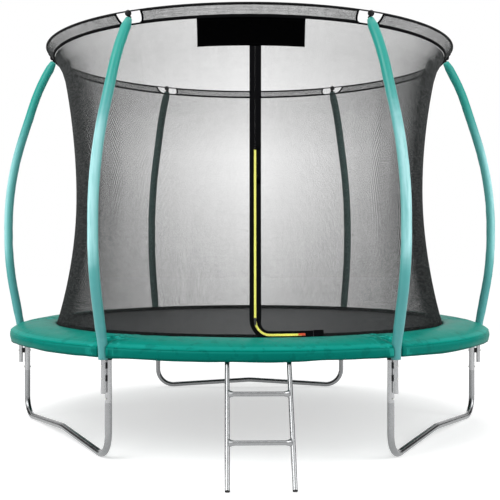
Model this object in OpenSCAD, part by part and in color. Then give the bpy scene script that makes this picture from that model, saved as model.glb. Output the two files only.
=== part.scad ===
// Round garden trampoline with six curved net poles, three W-shaped legs, an inner safety net and a hook-on ladder.
// Heights in the sizes are measured up from the ground. The part's origin is the centre of the mat's top face.
// +X is to the right and -Y is towards the ladder and the zipped entrance.

/* [Frame] */
// Distance from the centre to the middle of the rail tube
rail_radius = 1505; // [1300:5:1700]
// Height of the middle of the rail tube
rail_height = 600; // [560:5:680]
// Outside diameter of the rail, leg and base tubes
frame_tube_d = 38; // [34:1:42]
// Wall of the rail, leg and base tubes
frame_wall = 1.8; // [1.2:0.1:2.6]
// Wall of the cross tube that joins two rail segments on a leg
socket_wall = 2.2; // [1.5:0.1:3]
// Length of that cross tube along the rail
socket_length = 110; // [80:5:150]
// Running clearance between tubes that slide into each other
tube_clearance = 0.25; // [0.1:0.05:0.5]
// Gap between the ends of two rail segments inside a socket
rail_end_gap = 2; // [1:0.5:6]

/* [Legs] */
// Height at which the upper leg sits on the shoulder of the W-leg
leg_joint_height = 312; // [260:2:360]
// Length of the reduced end of the W-leg inside the upper leg
swage_length = 55; // [35:1:70]
// Bend radius of the W-leg's lower corners, to the middle of the tube
corner_bend = 125; // [90:5:160]
// Angle at which the base tube rises from each corner to its middle
base_rise = 3.5; // [1:0.5:6]
// Bend radius at the middle of the base tube
base_mid_bend = 300; // [150:10:500]
// Height of the bolt that locks a leg joint above that joint
leg_bolt_rise = 22; // [12:1:32]
// Height of the black wrap around the leg top
collar_height = 36; // [20:1:42]
// Thickness of that wrap
collar_wall = 1.5; // [0.8:0.1:2]
// Height of the lower edge of that wrap
collar_level = 540; // [536:1:545]

/* [Poles] */
// Outside diameter of a net pole tube
pole_tube_d = 25; // [20:1:28]
// Wall of a net pole tube
pole_wall = 1.5; // [1:0.1:2.5]
// Thickness of the spacers between a leg and its pole
spacer_gap = 12.5; // [9:0.5:20]
// Height of a spacer
spacer_height = 32; // [20:1:44]
// Width of a spacer
spacer_width = 18; // [12:1:24]
// Height of the pole's open lower end
pole_foot_height = 365; // [345:5:390]
// Height of the lower spacer and its bolt
lower_clamp_height = 445; // [430:1:455]
// Height of the upper spacer and its bolt
upper_clamp_height = 512; // [500:1:514]
// Length of the straight foot of the pole
pole_foot_run = 195; // [180:5:230]
// Angle at which the pole leans out above the pad
lean_out = 10.9; // [6:0.5:14]
// Bend radius where the pole starts to lean out
lean_bend = 400; // [250:10:600]
// Straight run that leans out
lean_run = 225; // [150:5:320]
// Bend radius of the long curve back over the net
crown_bend = 1930; // [1500:10:2400]
// Angle at which the pole leans in after that curve
lean_in = 18; // [12:0.5:22]
// Straight run that leans in
reach_run = 235; // [180:5:320]
// Bend radius near the top
head_bend = 1300; // [900:10:1800]
// Angle at which the pole ends, leaning in
head_lean = 29; // [24:0.5:32]
// Straight run at the top
head_run = 45; // [30:1:70]
// Straight run of the upper pole tube over the lower one's reduced end
joint_run = 55; // [40:1:80]

/* [Foam sleeves] */
// Outside diameter of the gathered lower end of a sleeve
sleeve_neck_d = 44; // [40:1:46]
// Outside diameter of the padded part of a sleeve
sleeve_d = 58; // [50:1:66]
// Outside diameter of a sleeve's top end
sleeve_top_d = 46; // [40:1:56]
// Height of a sleeve's lower end
sleeve_foot_height = 541; // [538:1:550]
// Length over which a sleeve narrows at each end
sleeve_taper = 60; // [30:1:90]
// Clearance between a pole tube and the foam
sleeve_clearance = 0.3; // [0.2:0.1:1]

/* [Pole caps and top ring] */
// Diameter of the ball-shaped head of a pole cap
cap_d = 36; // [32:1:42]
// Diameter of the stem of a pole cap
cap_stem_d = 21; // [18:0.5:25]
// Length of the stem that shows between the tube and the head
cap_stem = 50; // [40:1:60]
// Depth to which the stem's plug enters the tube
cap_plug = 30; // [15:1:50]
// Diameter of the thin ring rod
ring_rod_d = 8; // [6:0.5:10]
// Rise of the ring rod above the end of the pole tube
ring_rise = 69; // [62:1:74]
// Distance from the end of the pole tube in to the ring rod
ring_inset = 3; // [-2:1:8]

/* [Net] */
// Height of the narrowest level of the net
waist_height = 1500; // [1350:10:1650]
// How far the net draws in from its foot to that level
waist_draw = 125; // [80:5:150]
// Radius of the upper curve of the net's side
upper_curve = 3700; // [3200:50:4600]
// Height at which the net starts to flare to its top cord
flare_height = 2230; // [2150:10:2260]
// Thickness of the netting
net_thick = 1.2; // [0.8:0.1:2]
// Diameter of the net's top cord
cord_d = 11; // [7:1:14]
// Drop from the ring rod to the net's top cord
cord_drop = 60; // [45:1:75]
// Distance from the ring rod in to the net's top cord
cord_inset = 48; // [36:1:60]
// Width of the opening in the top band at a pole, along the ring
band_gap = 170; // [120:5:220]
// Height of the dark hem at the net's foot
hem_height = 26; // [15:1:40]
// Gap left between the net's pieces and what they are sewn to
sewing_gap = 0.3; // [0.2:0.1:0.6]

/* [Entrance] */
// Place of the upright zip, to the right of the middle
zip_x = 30; // [0:5:60]
// Height of the zip's upper end
zip_top = 1674; // [1500:2:1800]
// Radius of the zip's bend at its lower corner
zip_bend = 80; // [50:5:110]
// Height of the zip's level lower run above the mat
zip_foot_rise = 23; // [21:1:40]
// Reach of the lower run to the right of the middle
zip_reach = 300; // [240:5:360]
// Width of the tape on each side of the zip
tape_width = 26; // [18:1:34]
// Width of the level tape below the zip's lower run
low_tape_width = 20; // [12:1:20]
// Thickness of the tape
tape_thick = 1.4; // [0.8:0.1:2]
// Width by which netting and tape lap where they are sewn together
seam_lap = 8; // [4:1:10]
// Width of the zip's row of teeth
teeth_width = 6; // [4:0.5:9]
// Thickness of the zip's row of teeth
teeth_thick = 1.6; // [1:0.1:2.4]
// Distance from the end of the zip's lower run to the hinge line of the flap
hinge_reach = 35; // [25:1:50]
// Length of a zip slider
slider_length = 20; // [14:1:28]
// Width of a zip slider
slider_width = 13; // [9:0.5:16]
// Thickness of a zip slider
slider_thick = 6; // [4:0.5:9]
// Length of a pull tab
pull_length = 30; // [20:1:45]
// Width of a pull tab
pull_width = 11; // [9:0.5:14]
// Thickness of a pull tab
pull_thick = 2; // [1.2:0.1:3]
// Width of the plain banner
banner_width = 586; // [400:2:700]
// Height of the plain banner
banner_height = 143; // [100:1:160]
// Height of the banner's upper edge
banner_top = 2357; // [2300:1:2360]
// Distance of the banner's middle to the right of the middle
banner_x = 8; // [-20:1:40]

/* [Mat and springs] */
// Height of the mat's top face
mat_height = 645; // [640:1:660]
// Thickness of the mat
mat_thick = 1.2; // [0.8:0.1:2]
// Width of the hem along the mat's edge
mat_hem_width = 62; // [56:1:90]
// Height by which the hem rises above the mat's top face
mat_hem_rise = 0.8; // [0.5:0.1:1.2]
// Distance from the middle of the rail in to the edge of the mat
mat_inset = 200; // [180:2:240]
// Width of the webbing sewn around the mat
webbing_width = 40; // [25:1:60]
// Thickness of that webbing
webbing_thick = 2.6; // [1.6:0.1:4]
// Number of springs on each rail segment
springs_per_rail = 9; // [7:1:11]
// Outside diameter of a spring's coil
spring_d = 15; // [12:0.5:16]
// Length of a spring's coil
coil_length = 108; // [90:1:115]
// Wire of the spring hooks
hook_wire = 3.2; // [2.4:0.1:4]
// Distance of the spring holes inside the middle of the rail tube
spring_hole_set = 3; // [0:0.5:4]
// Diameter of a spring hole in the rail
spring_hole_d = 7; // [6:0.5:9]
// Width of a V-ring across its bar
v_ring_width = 34; // [26:1:40]
// Length of a V-ring from its bar to its tip
v_ring_length = 34; // [28:1:40]
// Wire of a V-ring
v_ring_wire = 4; // [3:0.2:5]

/* [Pad] */
// Distance from the edge of the mat in to the pad's inner edge
pad_cover = 25; // [15:1:60]
// Distance from the middle of the rail out to the pad's outer edge
pad_overhang = 61; // [56:1:80]
// Thickness of the foam at the middle of the pad
pad_foam = 16; // [10:1:24]
// Thickness of the pad's sewn edges
pad_edge = 4; // [3:0.5:6]
// Fall of the pad from its inner to its outer edge
pad_fall = 35; // [30:1:38]
// Height of the pad's inner underside above the mat
pad_lift = 2; // [1:0.5:6]
// Length by which the skirt hangs below the pad's outer edge
skirt_drop = 51.7; // [40:0.1:55]
// Thickness of the skirt
skirt_thick = 2; // [1:0.1:3]
// Clearance around a sleeve in the pad's notch
notch_clearance = 2.5; // [1:0.1:6]
// Clearance around a ladder rail at the skirt's lower edge
ladder_notch = 2; // [1:0.1:6]

/* [Ladder] */
// Angle around the rail from the front middle to the ladder's middle
ladder_turn = 1.62; // [-4:0.1:4]
// Distance between the middles of the two ladder rails
ladder_width = 315; // [260:1:380]
// Outside diameter of a ladder rail
ladder_tube_d = 25; // [20:1:30]
// Wall of a ladder rail
ladder_wall = 1.5; // [1:0.1:2.5]
// Angle at which the ladder leans, from upright
ladder_lean = 36; // [30:0.5:38]
// Height of the upper tread
upper_tread_height = 410; // [360:2:440]
// Height of the lower tread
lower_tread_height = 200; // [150:2:260]
// Diameter of a tread at its middle
tread_d = 24; // [18:1:30]
// Diameter of a tread's flared ends
tread_flare_d = 45; // [36:1:50]
// Length of a tread's flared end
tread_flare = 34; // [20:1:50]
// Thickness of the hook on the rail
hook_thick = 6; // [4:0.5:7]
// Width of the hook
hook_width = 16; // [10:1:20]
// Clearance of the hook around the rail tube
hook_clearance = 1.1; // [0.8:0.1:2]
// Thickness of the plug's rim, which closes the end of a ladder rail
plug_wall = 3; // [3:0.5:5]
// Length of the plug's stem inside the ladder rail
plug_length = 40; // [25:1:60]
// Depth of the flat that the ground has worn on the plug's edge
plug_wear = 1.6; // [1:0.1:1.8]

/* [Fasteners] */
// Diameter of the frame bolts
bolt_d = 6; // [5:0.5:8]
// Diameter of the holes that the bolts pass through
bolt_hole_d = 6.8; // [6:0.1:9]
// Diameter of a bolt's domed head
bolt_head_d = 12; // [9:0.5:15]
// Height of a bolt's domed head
bolt_head_height = 4; // [3:0.5:6]
// Width of a nut across its flats
nut_flats = 10; // [8:0.5:13]
// Height of a nut
nut_height = 5; // [4:0.5:7]
// Length of a bolt past its nut
bolt_tail = 2; // [1:0.5:4]

/* [Hidden] */

// Facets of small round shapes and of the large rings
$fn = 32;
ring_fn = 144;
// Depth by which a cutting shape passes the face that it cuts
cut = 1;
// Length by which two runs of one tube lap, and the share of its radii by which a bend's wall is thinner
lap = 0.6;
thinning = 0.016;
// Length of the shoulder inside a tube at its reduced end
shoulder = 4;

// The six legs stand 60 degrees apart
leg_step = 60;
front_left = 240;
front_right = 300;
right = 0;
back_right = 60;
back_left = 120;
left = 180;
leg_places = [front_left, front_right, right, back_right, back_left, left];

tube_r = frame_tube_d / 2;
tube_bore = tube_r - frame_wall;
socket_bore = tube_r + tube_clearance;
socket_r = socket_bore + socket_wall;
socket_angle = 2 * asin(socket_length / 2 / rail_radius);
rail_gap_angle = 2 * asin(rail_end_gap / 2 / rail_radius);

// A base tube runs straight from one leg to the next
base_span = 2 * rail_radius * sin(leg_step / 2);
corner_turn = 90 + base_rise;
base_run = (base_span / 2 - corner_bend * (1 + sin(base_rise)) - base_mid_bend * sin(base_rise)) / cos(base_rise);
upright_run = leg_joint_height - tube_r - corner_bend;

pole_r = pole_tube_d / 2;
pole_radius = rail_radius + tube_r + spacer_gap + pole_r;
// A route is a list of [straight run, bend radius, bend angle], and a positive angle bends away from +X
lower_pole = [
    [pole_foot_run, lean_bend, -lean_out],
    [lean_run, crown_bend, lean_out]
];
upper_pole = [
    [joint_run, crown_bend, lean_in],
    [reach_run, head_bend, head_lean - lean_in],
    [head_run, 0, 0]
];
pole_route = concat(lower_pole, upper_pole);
pole_tip = route_end(pole_route, [pole_radius, pole_foot_height, 0]);
pole_joint = route_end(lower_pole, [pole_radius, pole_foot_height, 0]);

ring_radius = pole_tip[0] - ring_inset;
ring_height = pole_tip[1] + ring_rise;
// The ring rod passes through the outer, upper part of the cap's head
ring_in_cap = cap_d / 4.5;
cap_center = [ring_radius - ring_in_cap, ring_height - ring_in_cap];
rod_r = ring_rod_d / 2;
cord_r = cord_d / 2;
cord_radius = ring_radius - cord_inset;
cord_height = ring_height - cord_drop;

mat_radius = rail_radius - mat_inset;
pad_inner = mat_radius - pad_cover;
pad_outer = rail_radius + pad_overhang;
pad_under = mat_height + pad_lift;
skirt_foot_height = pad_bottom(1) - sewing_gap - skirt_drop;
pad_steps = 18;
notch_r = sleeve_neck_d / 2 + notch_clearance;

// The net stands just inside the pad, and its side is an arc below its waist
net_foot = mat_height + mat_hem_rise + tape_thick;
skin = net_thick + sewing_gap;
net_foot_radius = pad_inner - skin - tape_thick - 2 * sewing_gap;
waist_radius = net_foot_radius - waist_draw;
waist_rise = waist_height - net_foot;
lower_curve = (waist_rise * waist_rise + waist_draw * waist_draw) / (2 * waist_draw);
net_top = cord_height - cord_r * 0.6;
net_top_radius = cord_radius - cord_r - sewing_gap - net_thick;
flare = net_top_radius - upper_net(net_top);
net_steps = 30;
net_levels = [for (i = [0 : net_steps]) net_foot + (net_top - net_foot) * i / net_steps];
net_line = [for (z = net_levels) [z, net_curve(z)]];

low_zip = mat_height + zip_foot_rise;
hinge_x = zip_reach + hinge_reach;
hinge_top = [zip_x, -sqrt(pow(net_radius(zip_top), 2) - pow(zip_x, 2)), zip_top];
hinge_foot = [hinge_x, -sqrt(pow(net_radius(low_zip), 2) - pow(hinge_x, 2)), low_zip];
// Clearance around the flap, along the zip and along its hinge line
flap_gap = 0.6;
slider_park = low_zip + zip_bend;
// Distance up and down the net over which its slope is taken
slope_step = 1;
// The slider's eye stands in front of its body and takes the pull's pin
eye_bore = slider_thick * 0.35;
eye_out = slider_thick + eye_bore + sewing_gap;
pin_r = eye_bore - sewing_gap;
eye_width = slider_width * 0.4;

spring_count = 6 * springs_per_rail;
// A spring's hook goes down into a hole in the top of the rail
spring_hole_radius = rail_radius - spring_hole_set;
hook_r = hook_wire / 2;
coil_outer = rail_radius - tube_r - spring_d;
coil_inner = coil_outer - coil_length;
webbing_top = mat_height - mat_thick - sewing_gap;
v_ring_top = webbing_top - webbing_thick - sewing_gap;
v_ring_bar = mat_radius - v_ring_wire;
v_ring_tip = v_ring_bar + v_ring_length;
inner_hook_height = v_ring_top - v_ring_wire - hook_r - sewing_gap;
outer_hook_height = rail_height + tube_r + hook_r + sewing_gap;

// The ladder's hooks turn about the chord through the two points where they hold the rail
ladder_axis_radius = sqrt(pow(rail_radius, 2) - pow(ladder_width / 2, 2));
ladder_r = ladder_tube_d / 2;
hook_bore = tube_r + hook_clearance;
hook_outer = hook_bore + hook_thick;
// Angle that the hook covers round the rail, from the ladder's side over the top
hook_wrap = 205;
ladder_foot = rail_height / cos(ladder_lean);
// Distance along a ladder rail from the turning axis to the outside of its plug
ladder_reach = ladder_foot - ladder_r * tan(ladder_lean) + plug_wear / cos(ladder_lean);

function pad_share(r) = (r - pad_inner) / (pad_outer - pad_inner);
function pad_bottom(t) = pad_under - pad_fall * pow(t, 2.8);
function pad_thick(t) = pad_edge + (pad_foam - pad_edge) * (1 - pow(abs(2 * t - 1), 5));
function lower_net(z) = waist_radius + lower_curve - sqrt(pow(lower_curve, 2) - pow(z - waist_height, 2));
function upper_net(z) = waist_radius + pow(z - waist_height, 2) / (2 * upper_curve);
function flare_share(z) = max(0, (z - flare_height) / (net_top - flare_height));
function net_curve(z) = z < waist_height ? lower_net(z) : upper_net(z) + flare * pow(flare_share(z), 2);
// All the pieces of the net meet on one set of levels, with straight stretches between them
function net_radius(z) = lookup(z, net_line);

// End of a route in the plane of radius and height: [radius, height, lean], where a positive lean is inwards
function after_run(at, run) = [at[0] - run * sin(at[2]), at[1] + run * cos(at[2]), at[2]];
function after_bend(at, r, a) = let (s = sign(a)) [
    at[0] - s * r * (cos(at[2]) - cos(at[2] + a)),
    at[1] + s * r * (sin(at[2] + a) - sin(at[2])),
    at[2] + a
];
function route_end(route, at, i = 0) = i >= len(route) ? at
    : route_end(route, after_bend(after_run(at, route[i][0]), route[i][1], route[i][2]), i + 1);

// Moves what is drawn by its height above the ground into the part's frame
module from_ground() {
    translate([0, 0, -mat_height]) children();
}

module at_leg(place, radius) {
    rotate([0, 0, place]) translate([radius, 0, 0]) children();
}

module ring_profile(outer, inner) {
    difference() {
        circle(r = outer);
        circle(r = inner);
    }
}

// A tube that starts upwards at the origin and bends in the XZ plane, away from +X for a positive angle.
// Straight runs lap into the bends, whose walls bending has thinned. Children are drawn at the tube's end.
module bent_tube(outer, inner, route, i = 0) {
    if (i == len(route)) {
        children();
    } else {
        run = route[i][0];
        bend = route[i][1];
        angle = route[i][2];
        side = sign(angle);
        lead = i > 0 ? lap : 0;
        tail = angle != 0 ? lap : 0;
        if (run > 0) translate([0, 0, -lead]) linear_extrude(run + lead + tail) ring_profile(outer, inner);
        translate([0, 0, run]) {
            if (angle != 0) {
                translate([-side * bend, 0, 0]) rotate([90, 0, 0]) rotate([0, 0, side > 0 ? 0 : 180 - abs(angle)])
                    rotate_extrude(angle = abs(angle), $fn = ring_fn) translate([bend, 0])
                        ring_profile(outer * (1 - thinning), inner * (1 + thinning));
            }
            translate([-side * bend * (1 - cos(angle)), 0, side * bend * sin(angle)]) rotate([0, -angle, 0])
                bent_tube(outer, inner, route, i + 1) children();
        }
    }
}

// A tube whose outside narrows or widens, and which laps into the tubes at both of its ends
module tapered_tube(from_r, to_r, inner, length) {
    a = from_r * (1 - 2 * thinning);
    b = to_r * (1 - 2 * thinning);
    bore = inner * (1 + 2 * thinning);
    rotate_extrude() polygon([[bore, -lap], [a, -lap], [a, 0], [b, length], [b, length + lap], [bore, length + lap]]);
}

// The reduced end of a tube, which enters the next tube; it starts from a shoulder inside the tube's wall
module swage(outer, wall, length) {
    end_r = outer - wall - tube_clearance;
    linear_extrude(length) ring_profile(end_r, end_r - wall);
    translate([0, 0, -shoulder]) linear_extrude(shoulder - sewing_gap) ring_profile(outer - wall / 2, end_r - wall);
    translate([0, 0, -lap]) linear_extrude(2 * lap) ring_profile(end_r, end_r - wall);
}

// ---- frame ----

module rail(place) {
    color("silver") from_ground() difference() {
        rotate([0, 0, place + rail_gap_angle / 2]) translate([0, 0, rail_height])
            rotate_extrude(angle = leg_step - rail_gap_angle, $fn = ring_fn) translate([rail_radius, 0])
                ring_profile(tube_r, tube_bore);
        for (i = [0 : springs_per_rail - 1])
            at_leg(place + (i + 0.5) * leg_step / springs_per_rail, spring_hole_radius)
                translate([0, 0, rail_height + tube_bore / 2]) rotate([0, 0, 45]) cylinder(d = spring_hole_d, h = tube_r);
    }
}

module leg(place) {
    color("silver") from_ground() rotate([0, 0, place]) difference() {
        union() {
            rotate([0, 0, -socket_angle / 2]) translate([0, 0, rail_height])
                rotate_extrude(angle = socket_angle, $fn = ring_fn) translate([rail_radius, 0]) circle(r = socket_r);
            translate([rail_radius, 0, leg_joint_height]) cylinder(r = tube_r, h = rail_height - leg_joint_height);
        }
        rotate([0, 0, -socket_angle]) translate([0, 0, rail_height])
            rotate_extrude(angle = 2 * socket_angle, $fn = ring_fn) translate([rail_radius, 0]) circle(r = socket_bore);
        translate([rail_radius, 0, leg_joint_height - cut])
            cylinder(r = tube_bore, h = rail_height - leg_joint_height + cut);
        for (h = [leg_joint_height + leg_bolt_rise, lower_clamp_height, upper_clamp_height])
            bolt_hole(h, rail_radius);
    }
}

module bolt_hole(height, radius) {
    translate([radius, 0, height]) rotate([0, 90, 0]) cylinder(d = bolt_hole_d, h = 3 * frame_tube_d, center = true);
}

// The W-leg stands under two neighbouring legs, and its base rises a little to its middle
module w_leg(first) {
    color("silver") from_ground() difference() {
        rotate([0, 0, first]) translate([rail_radius, 0, leg_joint_height]) rotate([0, 0, 90 + leg_step / 2]) {
            rotate([180, 0, 0]) bent_tube(tube_r, tube_bore, [
                [upright_run, corner_bend, -corner_turn],
                [base_run, base_mid_bend, 2 * base_rise],
                [base_run, corner_bend, -corner_turn],
                [upright_run, 0, 0]
            ]);
            for (x = [0, base_span]) translate([x, 0, 0]) swage(tube_r, frame_wall, swage_length);
        }
        for (place = [first, first + leg_step]) rotate([0, 0, place])
            bolt_hole(leg_joint_height + leg_bolt_rise, rail_radius);
    }
}

module leg_wraps() {
    color("#1c1d1f") from_ground() for (place = leg_places) at_leg(place, rail_radius)
        translate([0, 0, collar_level]) linear_extrude(collar_height)
            ring_profile(tube_r + sewing_gap / 2 + collar_wall, tube_r + sewing_gap / 2);
}

module bolt(height, from_radius, to_radius) {
    translate([0, 0, height]) rotate([0, 90, 0]) {
        translate([0, 0, from_radius]) cylinder(d = bolt_d, h = to_radius - from_radius + nut_height + bolt_tail);
        translate([0, 0, from_radius]) intersection() {
            scale_dome();
            translate([0, 0, -bolt_head_height]) cylinder(d = bolt_head_d, h = bolt_head_height);
        }
        translate([0, 0, to_radius + sewing_gap]) cylinder(d = nut_flats / cos(30), h = nut_height, $fn = 6);
    }
}

// A dome as high as the bolt head, as part of a ball
module scale_dome() {
    ball = (pow(bolt_head_d / 2, 2) + pow(bolt_head_height, 2)) / (2 * bolt_head_height);
    translate([0, 0, ball - bolt_head_height]) sphere(r = ball);
}

module frame_bolts() {
    inside = rail_radius - tube_r - sewing_gap;
    color("gainsboro") from_ground() for (place = leg_places) rotate([0, 0, place]) {
        bolt(leg_joint_height + leg_bolt_rise, inside, rail_radius + tube_r);
        bolt(lower_clamp_height, inside, pole_radius + pole_r);
        bolt(upper_clamp_height, inside, pole_radius + pole_r);
    }
}

// A spacer is hollowed on both sides to fit the leg and the pole
module pole_spacers() {
    color("#1c1d1f") from_ground() for (place = leg_places, h = [lower_clamp_height, upper_clamp_height])
        rotate([0, 0, place]) translate([0, 0, h]) difference() {
            translate([rail_radius, -spacer_width / 2, -spacer_height / 2])
                cube([pole_radius - rail_radius, spacer_width, spacer_height]);
            translate([rail_radius, 0, 0]) cylinder(r = tube_r + sewing_gap, h = 2 * spacer_height, center = true);
            translate([pole_radius, 0, 0]) cylinder(r = pole_r + sewing_gap, h = 2 * spacer_height, center = true);
            bolt_hole(0, rail_radius);
        }
}

// ---- poles ----

module pole(place) {
    bore = pole_r - pole_wall;
    color("silver") from_ground() rotate([0, 0, place]) {
        difference() {
            translate([pole_radius, 0, pole_foot_height]) bent_tube(pole_r, bore, lower_pole)
                swage(pole_r, pole_wall, joint_run - lap);
            for (h = [lower_clamp_height, upper_clamp_height]) bolt_hole(h, pole_radius);
        }
        translate([pole_joint[0], 0, pole_joint[1] + sewing_gap]) bent_tube(pole_r, bore, upper_pole);
    }
}

// The foam sleeve follows the pole from just under the pad to just under the cap
module sleeve(place) {
    bore = pole_r + sleeve_clearance;
    neck_r = sleeve_neck_d / 2;
    body_r = sleeve_d / 2;
    neck_run = pole_foot_height + pole_foot_run - sleeve_foot_height;
    color("#4fbcb4") from_ground() rotate([0, 0, place]) translate([pole_radius, 0, sleeve_foot_height])
        bent_tube(neck_r, bore, [[neck_run, lean_bend, -lean_out]]) {
            tapered_tube(neck_r, body_r, bore, sleeve_taper);
            translate([0, 0, sleeve_taper]) bent_tube(body_r, bore, [
                [lean_run - sleeve_taper, crown_bend, lean_out],
                [joint_run, crown_bend, lean_in],
                [reach_run, head_bend, head_lean - lean_in]
            ]) tapered_tube(body_r, sleeve_top_d / 2, bore, head_run - lap - sewing_gap);
        }
}

module pole_caps() {
    color("#1c1d1f") from_ground() for (place = leg_places) rotate([0, 0, place]) difference() {
        union() {
            translate([pole_tip[0], 0, pole_tip[1]]) rotate([0, -pole_tip[2], 0]) {
                translate([0, 0, -cap_plug])
                    cylinder(r = pole_r - pole_wall - tube_clearance, h = cap_plug + cut);
                translate([0, 0, sewing_gap]) cylinder(d = cap_stem_d, h = cap_stem);
            }
            translate([cap_center[0], 0, cap_center[1]]) sphere(d = cap_d);
        }
        rotate([0, 0, -leg_step / 4]) translate([0, 0, ring_height])
            rotate_extrude(angle = leg_step / 2, $fn = ring_fn)
                translate([ring_radius, 0]) circle(r = rod_r + sewing_gap);
    }
}

module top_ring() {
    color("#1c1d1f") from_ground() translate([0, 0, ring_height])
        rotate_extrude($fn = ring_fn) translate([ring_radius, 0]) circle(r = rod_r);
}

// ---- net ----

module net_profile(lift, thick, low, high) {
    levels = concat([low], [for (z = net_levels) if (z > low + 1 && z < high - 1) z], [high]);
    polygon(concat(
        [for (z = levels) [net_radius(z) + lift, z]],
        [for (i = [len(levels) - 1 : -1 : 0]) [net_radius(levels[i]) + lift + thick, levels[i]]]
    ));
}

module net_skin(start, sweep, lift, thick, low, high) {
    rotate([0, 0, start]) rotate_extrude(angle = sweep, $fn = ring_fn) net_profile(lift, thick, low, high);
}

module net_panel(place) {
    color("#3a3f40", 0.6) from_ground() net_skin(place, leg_step, 0, net_thick, net_foot, net_top);
}

// An outline drawn in X and height, cut through the front of the net
module front_cut() {
    rotate([90, 0, 0]) translate([0, 0, waist_radius * 0.8]) linear_extrude(waist_radius * 0.6) children();
}

// The flap's outline: the zip on its left and below it, the hinge line on its right
module flap_outline(inset) {
    corner = [zip_x + zip_bend, low_zip + zip_bend];
    r = zip_bend - inset;
    polygon(concat(
        [[zip_x + inset, zip_top - 8 * inset]],
        [for (a = [180 : 10 : 270]) corner + r * [cos(a), sin(a)]],
        [[hinge_x - 2 * inset, low_zip + inset]]
    ));
}

// Everything in the flap that is further than a width from the zip
module flap_inner(width) {
    translate([zip_x + width, low_zip + width]) square([hinge_x, zip_top]);
}

// The front netting is in two parts, joined by the tape round the entrance and the strip above it
module net_front() {
    edge = tape_width - seam_lap;
    seam_top = banner_top - seam_lap;
    color("#3a3f40", 0.6) from_ground() difference() {
        net_skin(front_left, leg_step, 0, net_thick, net_foot, net_top);
        front_cut() polygon([
            [zip_x - edge, mat_height],
            [zip_x - edge, seam_top],
            [zip_x - flap_gap / 2, seam_top],
            [zip_x - flap_gap / 2, ring_height],
            [zip_x + flap_gap / 2, ring_height],
            [zip_x + flap_gap / 2, seam_top],
            [zip_x + edge, seam_top],
            [zip_x + edge, zip_top + seam_lap],
            [zip_x, zip_top + seam_lap],
            [zip_x, zip_top],
            [hinge_x, low_zip],
            [hinge_x, mat_height]
        ]);
    }
}

module door_flap() {
    color("#3a3f40", 0.6) from_ground() intersection() {
        net_skin(front_left, leg_step, 0, net_thick, net_foot, net_top);
        front_cut() intersection() {
            flap_outline(flap_gap);
            flap_inner(tape_width - seam_lap);
        }
    }
}

// The tape's outline on both sides of the zip, with the plain strip above it
module tape_outline(outer, inner) {
    corner = [zip_x + zip_bend, low_zip + zip_bend];
    polygon(concat(
        [[zip_x - outer, zip_top]],
        [for (a = [180 : 10 : 270]) corner + [(zip_bend + outer) * cos(a), (zip_bend + min(outer, low_tape_width)) * sin(a)]],
        [[zip_reach, low_zip - min(outer, low_tape_width)], [zip_reach, low_zip - inner]],
        [for (a = [270 : -10 : 180]) corner + (zip_bend + inner) * [cos(a), sin(a)]],
        [[zip_x - inner, zip_top]]
    ));
}

module zip_tape() {
    color("#1c1d1f") from_ground() intersection() {
        net_skin(front_left, leg_step, skin, tape_thick, net_foot, banner_top - banner_height - sewing_gap);
        front_cut() union() {
            tape_outline(tape_width, flap_gap);
            translate([zip_x - tape_width, zip_top]) square([2 * tape_width, banner_top - zip_top]);
            translate([zip_reach - cut, low_zip - low_tape_width])
                square([hinge_reach + 2 * tape_width, low_tape_width - flap_gap]);
        }
    }
}

module door_tape() {
    color("#1c1d1f") from_ground() intersection() {
        net_skin(front_left, leg_step, skin, tape_thick, net_foot, zip_top);
        front_cut() difference() {
            flap_outline(flap_gap);
            flap_inner(tape_width);
        }
    }
}

// The row of teeth lies on the fixed tape, along the zip's edge
module zip_teeth() {
    color("#f0e128") from_ground() intersection() {
        net_skin(front_left, leg_step, skin + tape_thick + sewing_gap, teeth_thick, net_foot, zip_top);
        front_cut() tape_outline(flap_gap + teeth_width, flap_gap);
    }
}

module net_hem() {
    color("#1c1d1f") from_ground() difference() {
        rotate_extrude($fn = ring_fn)
            net_profile(-sewing_gap - tape_thick, tape_thick, mat_height + mat_hem_rise + sewing_gap, mat_height + hem_height);
        front_cut() translate([zip_x - tape_width, low_zip - low_tape_width])
            square([hinge_x + tape_width, hem_height + zip_bend]);
    }
}

module banner() {
    color("#151517") from_ground() intersection() {
        net_skin(front_left, leg_step, skin, tape_thick, banner_top - banner_height, banner_top);
        front_cut() translate([banner_x - banner_width / 2, banner_top - 2 * banner_height])
            square([banner_width, 3 * banner_height]);
    }
}

// Six lengths of netting between the ring rod and the top cord, open at each pole
module net_band() {
    gap_angle = 2 * asin(band_gap / 2 / ring_radius);
    top = [ring_radius - rod_r - sewing_gap, ring_height];
    foot = [cord_radius + cord_r + sewing_gap, cord_height];
    color("#3a3f40", 0.6) from_ground() for (place = leg_places) rotate([0, 0, place + gap_angle / 2])
        rotate_extrude(angle = leg_step - gap_angle, $fn = ring_fn)
            polygon([top, top - [0, 2 * net_thick], foot - [0, net_thick], foot + [0, net_thick]]);
}

module net_cord() {
    color("#1c1d1f") from_ground() translate([0, 0, cord_height])
        rotate_extrude($fn = ring_fn) translate([cord_radius, 0]) circle(r = cord_r);
}

// ---- zip sliders ----

// Stands a piece on the outside of the net at a height and a distance to the right, facing outwards
module on_net(x, height) {
    r = net_radius(height) + skin + tape_thick + teeth_thick + 3 * sewing_gap;
    slope = atan((net_radius(height + slope_step) - net_radius(height - slope_step)) / (2 * slope_step));
    rotate([0, 0, asin(x / r)]) translate([0, -r, height]) rotate([slope, 0, 0]) children();
}

module slider_body() {
    translate([-slider_width / 2, -slider_thick, -slider_length / 2]) cube([slider_width, slider_thick, slider_length]);
    translate([0, -eye_out, 0]) rotate([0, 90, 0]) difference() {
        cylinder(r = 2 * eye_bore, h = eye_width, center = true);
        cylinder(r = eye_bore, h = slider_width, center = true);
    }
}

module zip_slider() {
    color("#2a2b2d") from_ground() on_net(zip_x, slider_park) slider_body();
}

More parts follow.
